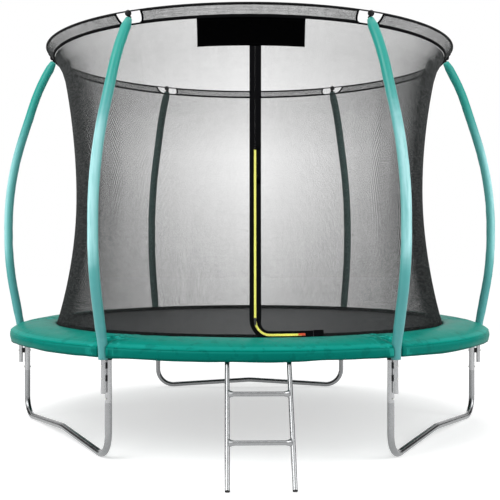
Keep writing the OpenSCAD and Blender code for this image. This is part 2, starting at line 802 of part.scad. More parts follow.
// The pull hangs flat in front of its slider, from the slider's eye
module pull_body() {
    slot = eye_width + 2 * sewing_gap;
    translate([0, -eye_out, 0]) {
        rotate([0, 90, 0]) cylinder(r = pin_r, h = pull_width, center = true);
        difference() {
            translate([-pull_width / 2, -pull_thick / 2, -pull_length]) cube([pull_width, pull_thick, pull_length]);
            translate([-slot / 2, -pull_thick, -slider_length / 2]) cube([slot, 2 * pull_thick, slider_length]);
        }
    }
}

module zip_pull() {
    color("#2a2b2d") from_ground() on_net(zip_x, slider_park) pull_body();
}

module low_slider() {
    color("#dc501e") from_ground() on_net(zip_reach - slider_length / 2, low_zip) rotate([0, 90, 0]) slider_body();
}

module low_pull() {
    color("#dc501e") from_ground() on_net(zip_reach - slider_length / 2, low_zip) rotate([0, 90, 0]) pull_body();
}

// ---- mat and springs ----

module mat() {
    hem = mat_radius - mat_hem_width;
    top = mat_height + mat_hem_rise;
    base = mat_height - mat_thick;
    color("#4b4d4f") from_ground() rotate_extrude($fn = ring_fn)
        polygon([[0, base], [mat_radius, base], [mat_radius, top], [hem, top], [hem, mat_height], [0, mat_height]]);
}

module mat_webbing() {
    color("#26282a") from_ground() translate([0, 0, webbing_top - webbing_thick])
        linear_extrude(webbing_thick) difference() {
            circle(r = mat_radius, $fn = ring_fn);
            circle(r = mat_radius - webbing_width, $fn = ring_fn);
        }
}

module at_spring(i) {
    rotate([0, 0, (i + 0.5) * 360 / spring_count]) children();
}

module v_rings() {
    half = v_ring_width / 2;
    w = v_ring_wire;
    color("gainsboro") from_ground() for (i = [0 : spring_count - 1]) at_spring(i)
        translate([v_ring_bar, 0, v_ring_top - w]) linear_extrude(w) difference() {
            polygon([[0, -half], [w, -half], [v_ring_length, -w], [v_ring_length, w], [w, half], [0, half]]);
            polygon([[w, -half + 1.4 * w], [v_ring_length - w, -0.6 * w], [v_ring_length - w, 0.6 * w], [w, half - 1.4 * w]]);
        }
}

module rod_between(a, b, r) {
    reach = [b[0] - a[0], b[1] - a[1]];
    translate([a[0], 0, a[1]]) rotate([0, atan2(reach[0], reach[1]), 0]) cylinder(r = r, h = norm(reach));
}

// A spring runs from the V-ring to the rail; its hooks go up through the ring and down into the hole
module springs() {
    coil_in = [coil_inner, inner_hook_height];
    coil_out = [coil_outer, outer_hook_height + spring_d / 3];
    eye = v_ring_bar + v_ring_length - 2.2 * v_ring_wire;
    color("gainsboro") from_ground() for (i = [0 : spring_count - 1]) at_spring(i) {
        rod_between(coil_in, coil_out, spring_d / 2);
        rod_between([eye, inner_hook_height], coil_in, hook_r);
        rod_between([eye, inner_hook_height], [eye, v_ring_top + hook_r], hook_r);
        rod_between(coil_out, [spring_hole_radius, outer_hook_height], hook_r);
        rod_between([spring_hole_radius, rail_height + tube_bore], [spring_hole_radius, outer_hook_height + hook_r], hook_r);
    }
}

// ---- pad ----

module pole_notches(low) {
    for (place = leg_places) at_leg(place, pole_radius) translate([0, 0, low])
        cylinder(r = notch_r, h = 2 * (mat_height - low));
}

module pad() {
    shares = [for (i = [0 : pad_steps]) i / pad_steps];
    span = pad_outer - pad_inner;
    color("#00997f") from_ground() difference() {
        rotate_extrude($fn = ring_fn) polygon(concat(
            [for (t = shares) [pad_inner + t * span, pad_bottom(t)]],
            [for (i = [pad_steps : -1 : 0]) [pad_inner + shares[i] * span, pad_bottom(shares[i]) + pad_thick(shares[i])]]
        ));
        pole_notches(skirt_foot_height);
    }
}

// The skirt's lower edge gives way where the ladder's rails come out from under it
module ladder_notches() {
    for (side = [-1, 1]) ladder_place() translate([side * ladder_width / 2, 0, 0])
        along_ladder(ladder_reach) cylinder(r = ladder_r + ladder_notch, h = ladder_reach);
}

module pad_skirt() {
    color("#007567") from_ground() difference() {
        translate([0, 0, skirt_foot_height]) linear_extrude(skirt_drop) difference() {
            circle(r = pad_outer, $fn = ring_fn);
            circle(r = pad_outer - skirt_thick, $fn = ring_fn);
        }
        pole_notches(skirt_foot_height - 2 * cut);
        ladder_notches();
    }
}

// ---- ladder ----

// The ladder is drawn with its turning axis along X at the origin, leaning out towards -Y
module ladder_place() {
    rotate([0, 0, ladder_turn]) translate([0, -ladder_axis_radius, rail_height]) children();
}

module along_ladder(distance) {
    rotate([-ladder_lean, 0, 0]) translate([0, 0, -distance]) children();
}

module ladder_rail(side) {
    color("silver") from_ground() ladder_place() translate([side * ladder_width / 2, 0, 0]) {
        difference() {
            along_ladder(ladder_reach - plug_wall) cylinder(r = ladder_r, h = ladder_reach - plug_wall - hook_bore);
            along_ladder(ladder_reach) cylinder(r = ladder_r - ladder_wall, h = ladder_reach - hook_outer - ladder_r);
            rotate([0, 90, 0]) cylinder(r = hook_bore, h = 2 * ladder_tube_d, center = true);
        }
        rotate([0, 90, 0]) rotate([0, 0, ladder_lean - hook_wrap])
            rotate_extrude(angle = hook_wrap, $fn = 72) translate([hook_bore, -hook_width / 2])
                square([hook_thick, hook_width]);
    }
}

// A tread is a tube with flared ends that are hollowed to sit against the two rails
module tread(height) {
    reach = ladder_width / 2 - ladder_r / 2;
    mid_r = tread_d / 2;
    flare_r = tread_flare_d / 2;
    steps = 8;
    half = [for (i = [0 : steps]) [mid_r + (flare_r - mid_r) * pow(i / steps, 2), reach - tread_flare * (1 - i / steps)]];
    along_ladder((rail_height - height) / cos(ladder_lean)) difference() {
        rotate([0, 90, 0]) rotate_extrude() polygon(concat(
            [[0, -reach]],
            [for (i = [steps : -1 : 0]) [half[i][0], -half[i][1]]],
            half,
            [[0, reach]]
        ));
        for (s = [-1, 1]) translate([s * ladder_width / 2, 0, 0])
            cylinder(r = ladder_r + sleeve_clearance, h = 2 * tread_flare_d, center = true);
    }
}

module ladder_treads() {
    color("silver") from_ground() ladder_place() {
        tread(upper_tread_height);
        tread(lower_tread_height);
    }
}

// The plugs close the ladder's feet and stand on the ground, which has worn a small flat on their edges
module ladder_plugs() {
    color("#1c1d1f") from_ground() difference() {
        ladder_place() for (s = [-1, 1]) translate([s * ladder_width / 2, 0, 0]) along_ladder(ladder_reach) {
            cylinder(r = ladder_r, h = plug_wall - sewing_gap);
            cylinder(r = ladder_r - ladder_wall - sleeve_clearance, h = plug_length);
        }
        translate([-ladder_width, -2 * pad_outer, -2 * plug_length])
            cube([2 * ladder_width, 2 * pad_outer, 2 * plug_length]);
    }
}

rail(front_left);  // rail_front
rail(front_right);  // rail_front_right
rail(right);  // rail_back_right
rail(back_right);  // rail_back
rail(back_left);  // rail_back_left
rail(left);  // rail_front_left
leg(front_left);  // leg_front_left
leg(front_right);  // leg_front_right
leg(right);  // leg_right
leg(back_right);  // leg_back_right
leg(back_left);  // leg_back_left
leg(left);  // leg_left
w_leg(left);  // w_leg_left
w_leg(front_right);  // w_leg_right
w_leg(back_right);  // w_leg_back
leg_wraps();
frame_bolts();
pole_spacers();
pole(front_left);  // pole_front_left
pole(front_right);  // pole_front_right
pole(right);  // pole_right
pole(back_right);  // pole_back_right
pole(back_left);  // pole_back_left
pole(left);  // pole_left
sleeve(front_left);  // sleeve_front_left
sleeve(front_right);  // sleeve_front_right
sleeve(right);  // sleeve_right
sleeve(back_right);  // sleeve_back_right
sleeve(back_left);  // sleeve_back_left
sleeve(left);  // sleeve_left
pole_caps();
top_ring();
net_band();
net_cord();
net_front();
net_panel(front_right);  // net_front_right
net_panel(right);  // net_back_right
net_panel(back_right);  // net_back
net_panel(back_left);  // net_back_left
net_panel(left);  // net_front_left
net_hem();
banner();
zip_tape();
zip_teeth();
door_flap();
door_tape();
zip_slider();
zip_pull();
low_slider();
low_pull();
mat();
mat_webbing();
v_rings();
springs();
pad();
pad_skirt();
ladder_rail(-1);  // ladder_rail_left
ladder_rail(1);  // ladder_rail_right
ladder_treads();
ladder_plugs();
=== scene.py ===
"""The dressed trampoline, in metres from the middle of its mat: netting, padding, covers and finishes."""

from functools import reduce
from math import asin, atan2, ceil, cos, degrees, exp, hypot, pi, radians, sin, sqrt

import bmesh
import bpy
from mathutils import Matrix, Vector, noise


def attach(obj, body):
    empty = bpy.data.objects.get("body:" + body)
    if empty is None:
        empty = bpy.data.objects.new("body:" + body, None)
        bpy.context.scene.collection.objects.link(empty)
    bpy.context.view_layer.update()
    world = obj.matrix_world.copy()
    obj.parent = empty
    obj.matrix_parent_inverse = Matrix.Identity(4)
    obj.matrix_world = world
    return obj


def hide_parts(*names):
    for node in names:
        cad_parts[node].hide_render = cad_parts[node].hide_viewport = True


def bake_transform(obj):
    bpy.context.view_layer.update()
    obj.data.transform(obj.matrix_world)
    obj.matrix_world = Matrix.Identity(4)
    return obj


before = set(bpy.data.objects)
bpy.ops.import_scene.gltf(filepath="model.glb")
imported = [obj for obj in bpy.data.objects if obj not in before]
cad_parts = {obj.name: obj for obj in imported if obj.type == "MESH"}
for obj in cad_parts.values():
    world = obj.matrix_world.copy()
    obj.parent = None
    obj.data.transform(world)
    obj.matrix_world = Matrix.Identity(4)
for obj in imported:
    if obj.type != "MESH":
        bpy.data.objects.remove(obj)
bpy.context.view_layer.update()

# ---- Sizes of the real parts, in metres

GROUND = -0.645
LEG_STEP, SECTOR = 60, radians(60)
LEG_PLACES = dict(front_left=240, front_right=300, right=0, back_right=60, back_left=120, left=180)
PANELS = dict(front=240, front_right=300, back_right=0, back=60, back_left=120, front_left=180)

NET_FOOT, NET_TOP, NET_THICK = 0.0022, 1.72502, 0.0012
WAIST_R, WAIST_Z = 1.1515, 0.855
LOWER_CURVE, UPPER_CURVE = 2.97157, 3.7
FLARE_Z, NET_TOP_R = 1.585, 1.28732
WALES, ROWS = 376, 345

ZIP_X, ZIP_TOP, ZIP_BEND, LOW_ZIP, ZIP_REACH = 0.030, 1.029, 0.080, 0.023, 0.300
BEND_X, BEND_Z = ZIP_X + ZIP_BEND, LOW_ZIP + ZIP_BEND
HINGE_TOP, HINGE_FOOT = Vector((0.030, -1.15525, 1.029)), Vector((0.335, -1.22553, 0.023))
HINGE = HINGE_FOOT - HINGE_TOP
TAPE_WIDTH, LOW_TAPE_WIDTH, UPRIGHT_TAPE_WIDTH = 0.026, 0.020, 0.033
TAPE_LIFT, TAPE_THICK, TAPE_GAP, TAPE_OVERRUN = 0.0029, 0.0013, 0.0005, 0.045
END_FROM, END_LENGTH, END_RISE, END_HALF = 0.0465, 0.056, 0.006, 0.017
TEETH_LIFT, TEETH_DEPTH, TEETH_REACH, TEETH_LAP, TEETH_PITCH = 0.0041, 0.0022, 0.0062, 0.0012, 0.0034
BANNER_X, BANNER_WIDTH, BANNER_TOP, BANNER_HEIGHT = 0.008, 0.586, 1.7245, 0.138
BANNER_LIFT, BANNER_THICK, BANNER_HEM, BANNER_LAP = 0.0027, 0.0012, 0.010, 0.004
HEM_FOOT, HEM_HEIGHT, HEM_SINK, HEM_END_X, HEM_MAP_R = 0.0006, 0.026, 0.0010, 0.361, 1.278

RING_R, RING_Z, CORD_R, CORD_Z, CORD_TUBE_R = 1.34232, 1.78832, 1.29432, 1.72832, 0.0052
BAND_GAP, BAND_ARCH, BAND_SLANT, BAND_LENGTH, BAND_THICK = 0.052, 0.036, 0.077, 1.27, 0.0022
BAND_TAPE, BINDING_R = (-0.0250, 0.0275), 0.0062

MAT_R, MAT_THICK, MAT_SEAM_X = 1.305, 0.0012, 0.43
WEBBING_WIDTH, WEBBING_THICK, WEBBING_Z = 0.040, 0.0024, -0.0029
MAT_HEM_R, MAT_HEM_RISE = MAT_R - 0.062, 0.0008
PAD_INNER, PAD_OUTER, PAD_UNDER, PAD_FALL, PAD_FOAM, PAD_EDGE = 1.280, 1.566, 0.002, 0.035, 0.016, 0.004
PAD_SEAM_R, PAD_SHOULDER, NOTCH_R, PAD_STEPS = 1.287, (1.536, 1.560), 0.0275, 432
SKIRT_FOOT, SKIRT_THICK = -0.085, 0.0018
POLE_R, POLE_TUBE_R, POLE_FOOT, SLEEVE_R, SLEEVE_FOOT = 1.549, 0.0125, 0.365, 0.0285, 0.541


# ---- Finishes

def sums(operation):
    """A method that adds one Math node to a value and up to two others."""
    def add_node(value, *others):
        given = dict(enumerate((value, *others)))
        return value.nodes.node("ShaderNodeMath", {"operation": operation}, given)
    return add_node


class Value:
    """One output of a shader node, with the sums that the finishes do on it."""

    __add__ = __radd__ = sums("ADD")
    __mul__ = __rmul__ = sums("MULTIPLY")
    __sub__, __truediv__, __pow__ = sums("SUBTRACT"), sums("DIVIDE"), sums("POWER")
    sine, size, least, most = sums("SINE"), sums("ABSOLUTE"), sums("MINIMUM"), sums("MAXIMUM")
    angle_over, to_and_fro = sums("ARCTAN2"), sums("PINGPONG")

    def __init__(self, nodes, socket):
        self.nodes, self.socket = nodes, socket

    def __rsub__(self, other):
        return (self * -1) + other

    def over(self, edge, blur):
        """1 above the edge, 0 below it, with a soft step of the given width."""
        ends = {"Value": self, "From Min": edge - blur / 2, "From Max": edge + blur / 2}
        return self.nodes.node("ShaderNodeMapRange", {"interpolation_type": "SMOOTHSTEP"}, ends)


def highest(values):
    return reduce(Value.most, values)


class Nodes:
    """Adds shader nodes to one tree."""

    def __init__(self, tree):
        self.tree = tree

    def node(self, kind, settings=(), inputs=(), out=0):
        made = self.tree.nodes.new(kind)
        for key, setting in dict(settings).items():
            setattr(made, key, setting)
        for key, given in dict(inputs).items():
            if isinstance(given, Value):
                self.tree.links.new(given.socket, made.inputs[key])
            else:
                made.inputs[key].default_value = given
        return Value(self, made.outputs[out])

    def rays(self, *kinds):
        """1 for light rays of these kinds, 0 for others."""
        return highest(self.node("ShaderNodeLightPath", out=f"Is {kind} Ray") for kind in kinds)


class Finish(Nodes):
    """A material made of nodes round one Principled shader."""

    def __init__(self, name, color, rough, metal=0.0, specular=0.5, **plain):
        self.slot, self.material = name, bpy.data.materials.new(name)
        self.material.use_nodes = True
        super().__init__(self.material.node_tree)
        self.shader = next(n for n in self.tree.nodes if n.type == "BSDF_PRINCIPLED")
        plain |= dict(Base_Color=(*color, 1), Roughness=rough, Metallic=metal, Specular_IOR_Level=specular)
        for socket, amount in plain.items():
            self.shader.inputs[socket.replace("_", " ")].default_value = amount

    def place(self):
        return self.node("ShaderNodeTexCoord", out="Object")

    def split(self, vector):
        made = self.node("ShaderNodeSeparateXYZ", inputs={0: vector}).socket.node
        return [Value(self, out) for out in made.outputs]

    def join(self, x, y, z=0.0):
        return self.node("ShaderNodeCombineXYZ", inputs={0: x, 1: y, 2: z})

    def round_place(self):
        """Place on the two level axes, and distance from the middle."""
        x, y, _ = self.split(self.place())
        return x, y, (x * x + y * y) ** 0.5

    def cloth(self):
        """Metres along and across the cloth, from the piece's own map."""
        return self.split(self.node("ShaderNodeUVMap", {"uv_map": "cloth"}))[:2]

    def noise(self, scale, detail=3.0, rough=0.5, at=None):
        spot = {"Vector": at or self.place(), "Scale": scale, "Detail": detail, "Roughness": rough}
        return self.node("ShaderNodeTexNoise", inputs=spot)

    def shade(self, share, low, high):
        """A colour between two, by a share from 0 to 1. The low one may come from another node."""
        low = low if isinstance(low, Value) else (*low, 1)
        return self.node("ShaderNodeMix", {"data_type": "RGBA"}, {0: share, 6: low, 7: (*high, 1)}, out=2)

    def layers(self, base, zones):
        """Lays further colours over a base, each by its own share."""
        for share, color in zones:
            base = self.shade(share, base, color)
        return base

    def feed(self, **links):
        for socket, given in links.items():
            self.tree.links.new(given.socket, self.shader.inputs[socket.replace("_", " ")])
        return self

    def bump(self, height, strength, depth):
        given = {"Height": height, "Strength": strength, "Distance": depth}
        return self.feed(Normal=self.node("ShaderNodeBump", inputs=given))


def shades(color, *factors):
    """The colour made darker or lighter by each factor."""
    return [tuple(c * factor for c in color) for factor in factors]


def weave_height(along, across, thread):
    """Over-and-under threads of plain weave, from 0 to 1."""
    a, b = [(way * (pi / thread)).sine() for way in (along, across)]
    over = (a * b).over(0.0, 0.3)
    return over * b.size() + (1 - over) * a.size()


def zinc(name, color, rough, spangle=70.0):
    """Zinc-coated steel: flat crystals of slightly different shades, with dull wear."""
    f = Finish(name, color, rough, 1.0)
    dull, bright, worn = shades(color, 0.84, 1.14, 0.7)
    spots = {"Vector": f.place(), "Scale": spangle}
    grain = f.split(f.node("ShaderNodeTexVoronoi", {"feature": "F1"}, spots, out="Color"))[0]
    cloud, fine, wear = f.noise(9.0, 4.0), f.noise(420.0, 2.0), f.noise(30.0, 5.0, 0.65)
    base = f.shade(grain * 0.35 + cloud * 0.45 + fine * 0.2, dull, bright)
    base = f.shade(wear.over(0.68, 0.1) * 0.3, base, worn)
    f.feed(Base_Color=base, Roughness=grain * 0.07 + cloud * 0.14 + (rough - 0.08))
    return f.bump(fine * 0.5 + wear * 0.5, 0.05, 0.0004)


def moulded(name, color, rough, grain=900.0, specular=0.5, **plain):
    """Moulded plastic or painted metal, with a fine grain."""
    f = Finish(name, color, rough, specular=specular, **plain)
    fine, broad = f.noise(grain, 2.0), f.noise(14.0, 3.0)
    lighter = tuple(c * 1.5 + 0.006 for c in color)
    base = f.shade(broad * 0.6 + fine * 0.4, color, lighter)
    f.feed(Base_Color=base, Roughness=broad * 0.2 + fine * 0.1 + (rough - 0.12))
    return f.bump(fine, 0.2, 0.0003)


def coated(name, color, light, dust, rough, specular, zones=lambda f: (), thread=0.0012, sheen=0.0):
    """Smooth coated cloth, in which a fine weave shows through, with zones as pairs of share and colour."""
    f = Finish(name, color, rough, specular=specular, Sheen_Weight=sheen, Sheen_Roughness=0.4)
    weave = weave_height(*f.cloth(), thread)
    broad, small = f.noise(3.0, 4.0), f.noise(38.0, 4.0, 0.6)
    base = f.shade(broad * 0.7 + small * 0.3, color, light)
    base = f.shade((small * broad).over(0.33, 0.12) * 0.3, base, dust)
    f.feed(Base_Color=f.layers(base, zones(f)), Roughness=small * 0.16 + broad * 0.12 + (rough - 0.14))
    return f.bump(weave * 0.5 + small * 0.5, 0.16, 0.0007)


def pole_fold_shading(f, x, y, drift):
    """Shares of the painted highlight and the painted shade on the two sides of the folds that run out from
    the poles.
    """
    off = y.angle_over(x).to_and_fro(SECTOR / 2) * 1.55
    near = 1 - off.over(0.085, 0.15)
    fold = f.noise(1.0, 2.0, 0.5, at=f.join(x * 34, y * 34, drift * 7))
    return near * fold.over(0.58, 0.08), near * (1 - fold.over(0.42, 0.08))


def pad_zones(f):
    """A painted highlight along the shoulder, painted shade in creases across the cover, painted highlight
    and shade on the pole folds, and a seam that goes round inside.
    """
    x, y, reach = f.round_place()
    highlight_patches, crease = f.noise(5.0, 4.0, 0.6), f.noise(16.0, 3.0, 0.6)
    shoulder_highlight = reach.over(PAD_SHOULDER[0], 0.010) * (1 - reach.over(PAD_SHOULDER[1], 0.006))
    seam = 1 - (reach - PAD_SEAM_R).size().over(0.0012, 0.0014)
    fold_highlight, dark = pole_fold_shading(f, x, y, reach)
    # Painted highlight and painted shade on the pole folds, a painted highlight on the shoulder, painted
    # shade in the creases, and the seam
    return (
        (fold_highlight * 0.8, (0.03, 0.47, 0.40)),
        (dark * 0.6, (0.0, 0.10, 0.08)),
        (shoulder_highlight * (highlight_patches * 1.4).least(1.0) * 0.7, (0.012, 0.34, 0.285)),
        (crease.over(0.60, 0.07) * 0.35, (0.0, 0.125, 0.098)),
        (seam * 0.5, (0.0, 0.10, 0.08)),
    )


def skirt_zones(f):
    """Painted shade along the hem at the foot, where it curls under, and a painted highlight along the
    upper edge; painted shade in creases and painted highlight and shade on the pole folds.
    """
    x, y, z = f.split(f.place())
    foot, edge_highlight = 1 - z.over(SKIRT_FOOT + 0.009, 0.008), z.over(-0.042, 0.012)
    crease = f.noise(16.0, 3.0, 0.6)
    fold_highlight, dark = pole_fold_shading(f, x, y, z * 0.6)
    # Painted highlight and shade on the pole folds, a painted highlight along the upper edge, painted shade
    # in the creases and at the curled-under foot
    return (
        (fold_highlight * 0.7, (0.02, 0.36, 0.30)),
        (dark * 0.6, (0.0, 0.075, 0.06)),
        (edge_highlight * 0.75, (0.004, 0.235, 0.19)),
        (crease.over(0.60, 0.07) * 0.3, (0.0, 0.10, 0.08)),
        (foot * 0.75, (0.0, 0.072, 0.056)),
    )


def sleeve_painted_light(f):
    """A painted highlight on the middle of the sleeves, with brighter painted streaks on the side that
    faces away from the mat, and painted shade on the inner side, at the foot and at the top.
    """
    z = f.split(f.place())[2]
    along, across = f.cloth()
    outward = (across / SLEEVE_R + pi / 2).sine()
    inner, outer = 1 - outward.over(-0.10, 1.0), outward.over(0.55, 0.9)
    streak = f.noise(1.0, 2.0, 0.5, at=f.join(along * 4, across * 35))
    uneven = f.noise(4.0, 3.0, 0.6) - 0.5
    mid_highlight = (z + uneven * 0.25).over(0.42, 0.22) * (1 - (z + uneven * 0.3).over(1.16, 0.30))
    # Painted highlight in the middle, brighter painted streaks on the outer side, painted shade on the
    # inner side, at the foot and at the top
    return (
        (mid_highlight * 0.75, (0.25, 0.62, 0.62)),
        (mid_highlight * outer * streak.over(0.46, 0.5) * 0.9, (0.52, 0.90, 0.92)),
        (inner * 0.75, (0.055, 0.34, 0.315)),
        ((1 - z.over(0.34, 0.30)) * 0.45, (0.045, 0.235, 0.245)),
        (z.over(1.34, 0.30) * 0.92, (0.014, 0.345, 0.285)),
    )


def net_density(height):
    """Share of the light that the net's cross threads stop: most at the hem and under the cord."""
    low = ((height * -1 + 1.06) / 0.82).most(0.0).least(1.15) ** 1.15
    high = ((height - 1.22) / 0.36).most(0.0).least(1.0)
    return low * 0.35 + high * 0.29 + 0.035


def netting(name, cell, cover=None, color=(0.030, 0.032, 0.032)):
    """Knitted net: small openings between threads, with slack and tight rows.

    Netting with a cover of its own is the band's, which has a tape along both edges."""
    f = Finish(name, color, 0.85, specular=0.1)
    along, across = f.cloth()
    drift = f.noise(9.0, 2.0) * (cell * 5)
    a, b = [(way * (pi / cell)).sine().size() for way in (along + drift, across - drift)]
    thread = 1 - (a * b).over(0.20, 0.20)
    rows = f.noise(1.0, 3.0, 0.6, at=f.join(along * 5, across * 95))
    folds = f.noise(1.0, 3.0, 0.55, at=f.join(along * 26, across * 1.6))
    slack = rows * 0.45 + folds * 0.25 + f.noise(1.6, 3.0) * 0.30
    dense = cover or net_density(f.split(f.place())[2])
    alpha = dense * 0.5 * (slack * 1.1 + 0.45) * (thread * 1.7 + 0.25)
    base = f.shade(slack, color, *shades(color, 2.0))
    if cover:
        tape = across.over(BAND_TAPE[1], 0.0012).most(1 - across.over(BAND_TAPE[0], 0.0012))
        alpha = (alpha * (slack * 1.6 + 0.2)).most(tape)
        base = f.shade(tape, base, (0.004, 0.004, 0.0045))
    f.feed(Alpha=alpha.least(1.0), Base_Color=base)
    f.material.surface_render_method = "DITHERED"
    return f


def yarn(name, color):
    """Knitted yarn seen from close by: dark fibres with lighter loops and rows."""
    f = Finish(name, color, 0.8, specular=0.15)
    dark, light, bright = shades(color, 0.6, 1.4, 2.6)
    x, y, z = f.split(f.place())
    loops, cloud = f.noise(700.0, 2.0), f.noise(5.0, 3.0)
    rows = f.noise(1.0, 4.0, 0.65, at=f.join(x * 22, y * 22, z * 90)).over(0.52, 0.30)
    base = f.shade(rows * 0.6, f.shade(loops * 0.5 + cloud * 0.5, dark, light), bright)
    return f.feed(Base_Color=base, Roughness=loops * 0.2 + 0.65).bump(loops, 0.3, 0.0003)


def webbing(name, color, thread=0.0016):
    """Woven tape."""
    f = Finish(name, color, 0.85, specular=0.03)
    weave, small = weave_height(*f.cloth(), thread), f.noise(60.0, 3.0)
    base = f.shade(weave * 0.6 + small * 0.4, *shades(color, 0.6, 2.0))
    return f.feed(Base_Color=base, Roughness=small * 0.2 + 0.62).bump(weave, 0.5, 0.0006)


def banner_cloth():
    """Dull black cloth with a turned and stitched edge."""
    f = Finish("banner_cloth", (0.001, 0.001, 0.001), 0.9, specular=0.0)
    along, across = f.cloth()
    weave, small = weave_height(along, across, 0.0011), f.noise(45.0, 3.0)

    def strips(inset):
        """1 nearer than the inset to the side edges, and to the upper and lower edges."""
        return [
            (way - full / 2).size().over(full / 2 - inset, 0.001)
            for way, full in ((along, BANNER_WIDTH), (across, BANNER_HEIGHT))
        ]

    half_line, pitch = 0.0005, 0.004
    rim = highest(strips(BANNER_HEM))
    line = highest(a - b for a, b in zip(strips(BANNER_HEM + half_line), strips(BANNER_HEM - half_line)))
    a, b = [(way * (pi / pitch)).sine().over(-0.3, 0.4) for way in (along, across)]
    base = f.shade(small, (0.0006, 0.0006, 0.0007), (0.0016, 0.0016, 0.0018))
    base = f.shade(line * (a * b) * 0.6, base, (0.012, 0.012, 0.013))
    return f.feed(Base_Color=base, Roughness=small * 0.2 + 0.65).bump(weave * 0.4 + rim * 0.6, 0.35, 0.0007)


def mat_cloth():
    """Coarse woven mat of three widths, with a hem that is sewn down in three rows."""
    f = Finish("mat_cloth", (0.03, 0.031, 0.032), 0.8, specular=0.08)
    along, across = f.cloth()
    weave = weave_height(along, across, 0.0022)
    x, _, reach = f.round_place()
    hem = reach.over(MAT_HEM_R, 0.0006)
    seam = 1 - ((x + MAT_SEAM_X) * (x - MAT_SEAM_X)).size().over(0.006, 0.004)
    stitches = ((MAT_R - 0.058, 0.0010), (MAT_R - 0.033, 0.0010), (MAT_R - 0.007, 0.0012))
    rows = highest(1 - (reach - row).size().over(wide, 0.001) for row, wide in stitches)
    dash = (along * (pi / 0.005)).sine().over(0.0, 0.4)
    cloud, small = f.noise(1.4, 4.0, 0.6), f.noise(26.0, 5.0, 0.65)
    base = f.layers(f.shade(cloud * 0.6 + small * 0.4, (0.020, 0.021, 0.022), (0.044, 0.045, 0.047)), (
        (weave.over(0.2, 0.3) * 0.25, (0.055, 0.057, 0.059)),
        (seam * 0.6, (0.018, 0.019, 0.021)),
        (hem * 0.5, (0.020, 0.021, 0.023)),
        (rows * dash * 0.7, (0.22, 0.22, 0.22)),
    ))
    f.feed(Base_Color=base, Roughness=small * 0.2 + cloud * 0.1 + 0.42)
    return f.bump(weave * 0.5 + seam * 0.35 + rows * 0.15, 0.4, 0.0009)


STEEL = zinc("galvanised_tube", (0.36, 0.365, 0.37), 0.20)
# A darker copy of the tube steel for the feet: painted shade
SHADED_FOOT_STEEL = zinc("galvanised_foot_shaded", (0.27, 0.275, 0.28), 0.20)
LADDER_STEEL = zinc("ladder_tube", (0.29, 0.295, 0.30), 0.20, 85.0)
BOLT_STEEL = zinc("bolt_steel", (0.62, 0.62, 0.60), 0.3, 260.0)
SPRING_STEEL = zinc("spring_steel", (0.60, 0.61, 0.62), 0.3, 320.0)
BLACK_PLASTIC = moulded("black_plastic", (0.006, 0.006, 0.0065), 0.5, specular=0.15)
RING_ROD = moulded("ring_rod", (0.004, 0.004, 0.0045), 0.55, 500.0, 0.10)
SLIDER_METAL = moulded("slider_metal", (0.012, 0.012, 0.013), 0.35, 700.0)
# The teeth glow a little beyond their yellow: painted light, as they are no lamp
GLOWING_ZIP_YELLOW = moulded(
    "zip_yellow", (1.0, 0.98, 0.22), 0.42, 800.0,
    Emission_Color=(1.0, 0.95, 0.12, 1), Emission_Strength=0.25,
)
PULL_ORANGE = moulded("pull_orange", (0.70, 0.075, 0.012), 0.42, 800.0)
PAD_COVER = coated(
    "pad_cover", (0.0, 0.225, 0.172), (0.001, 0.262, 0.205), (0.004, 0.30, 0.24), 0.42, 0.03, pad_zones,
)
# The skirt is the pad's own cloth, made darker here as painted shade on its upright face
SHADED_SKIRT_COVER = coated(
    "skirt_cover", (0.0, 0.155, 0.122), (0.001, 0.180, 0.142), (0.002, 0.20, 0.16), 0.42, 0.03, skirt_zones,
)
SLEEVE_COVER = coated(
    "sleeve_cover", (0.075, 0.375, 0.365), (0.105, 0.43, 0.42), (0.16, 0.50, 0.49), 0.34, 0.4, sleeve_painted_light,
    thread=0.0016, sheen=0.05,
)
# A darker, greyer copy of the sleeve cover for the two back sleeves: painted shade
SHADED_SLEEVE_COVER = coated(
    "sleeve_back_cover", (0.060, 0.110, 0.104), (0.082, 0.138, 0.130), (0.12, 0.18, 0.17), 0.5, 0.1,
    thread=0.0016,
)
NETTING = netting("netting", 0.0026)
BAND_NETTING = netting("band_netting", 0.0036, 0.95, (0.035, 0.036, 0.036))
NET_YARN = yarn("net_yarn", (0.050, 0.052, 0.052))
NET_YARN.slot, SHADED_SLEEVE_COVER.slot = NETTING.slot, SLEEVE_COVER.slot
WEBBING = webbing("black_webbing", (0.0022, 0.0022, 0.0026))
BANNER_CLOTH = banner_cloth()
MAT_CLOTH = mat_cloth()


# ---- Shaping and placing

def add_piece(name, shape, finish, body="frame", replaces=(), smooth=True):
    """Turns a bmesh into a finished piece that moves with one body."""
    mesh = bpy.data.meshes.new(name)
    shape.to_mesh(mesh)
    shape.free()
    piece = bpy.data.objects.new(name, mesh)
    bpy.context.scene.collection.objects.link(piece)
    mesh.materials.append(finish.material)
    for face in mesh.polygons:
        face.use_smooth = smooth
    if body:
        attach(piece, body)
    if replaces:
        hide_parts(*replaces)
    return piece


def polar(a, r, z):
    """The point at this angle, distance from the upright axis, and height."""
    return Vector((r * cos(a), r * sin(a), z))


def ripple(a, pace, at):
    """Noise that closes on itself round the trampoline, with more waves for a higher pace."""
    return noise.noise(polar(a, pace, at))


def around(co):
    """The point's angle and its distance from the upright axis."""
    return atan2(co.y, co.x), hypot(co.x, co.y)


def face_outwards(bm):
    bmesh.ops.recalc_face_normals(bm, faces=bm.faces)
    return bm


def points_of(geom):
    return [g for g in geom if isinstance(g, bmesh.types.BMVert)]


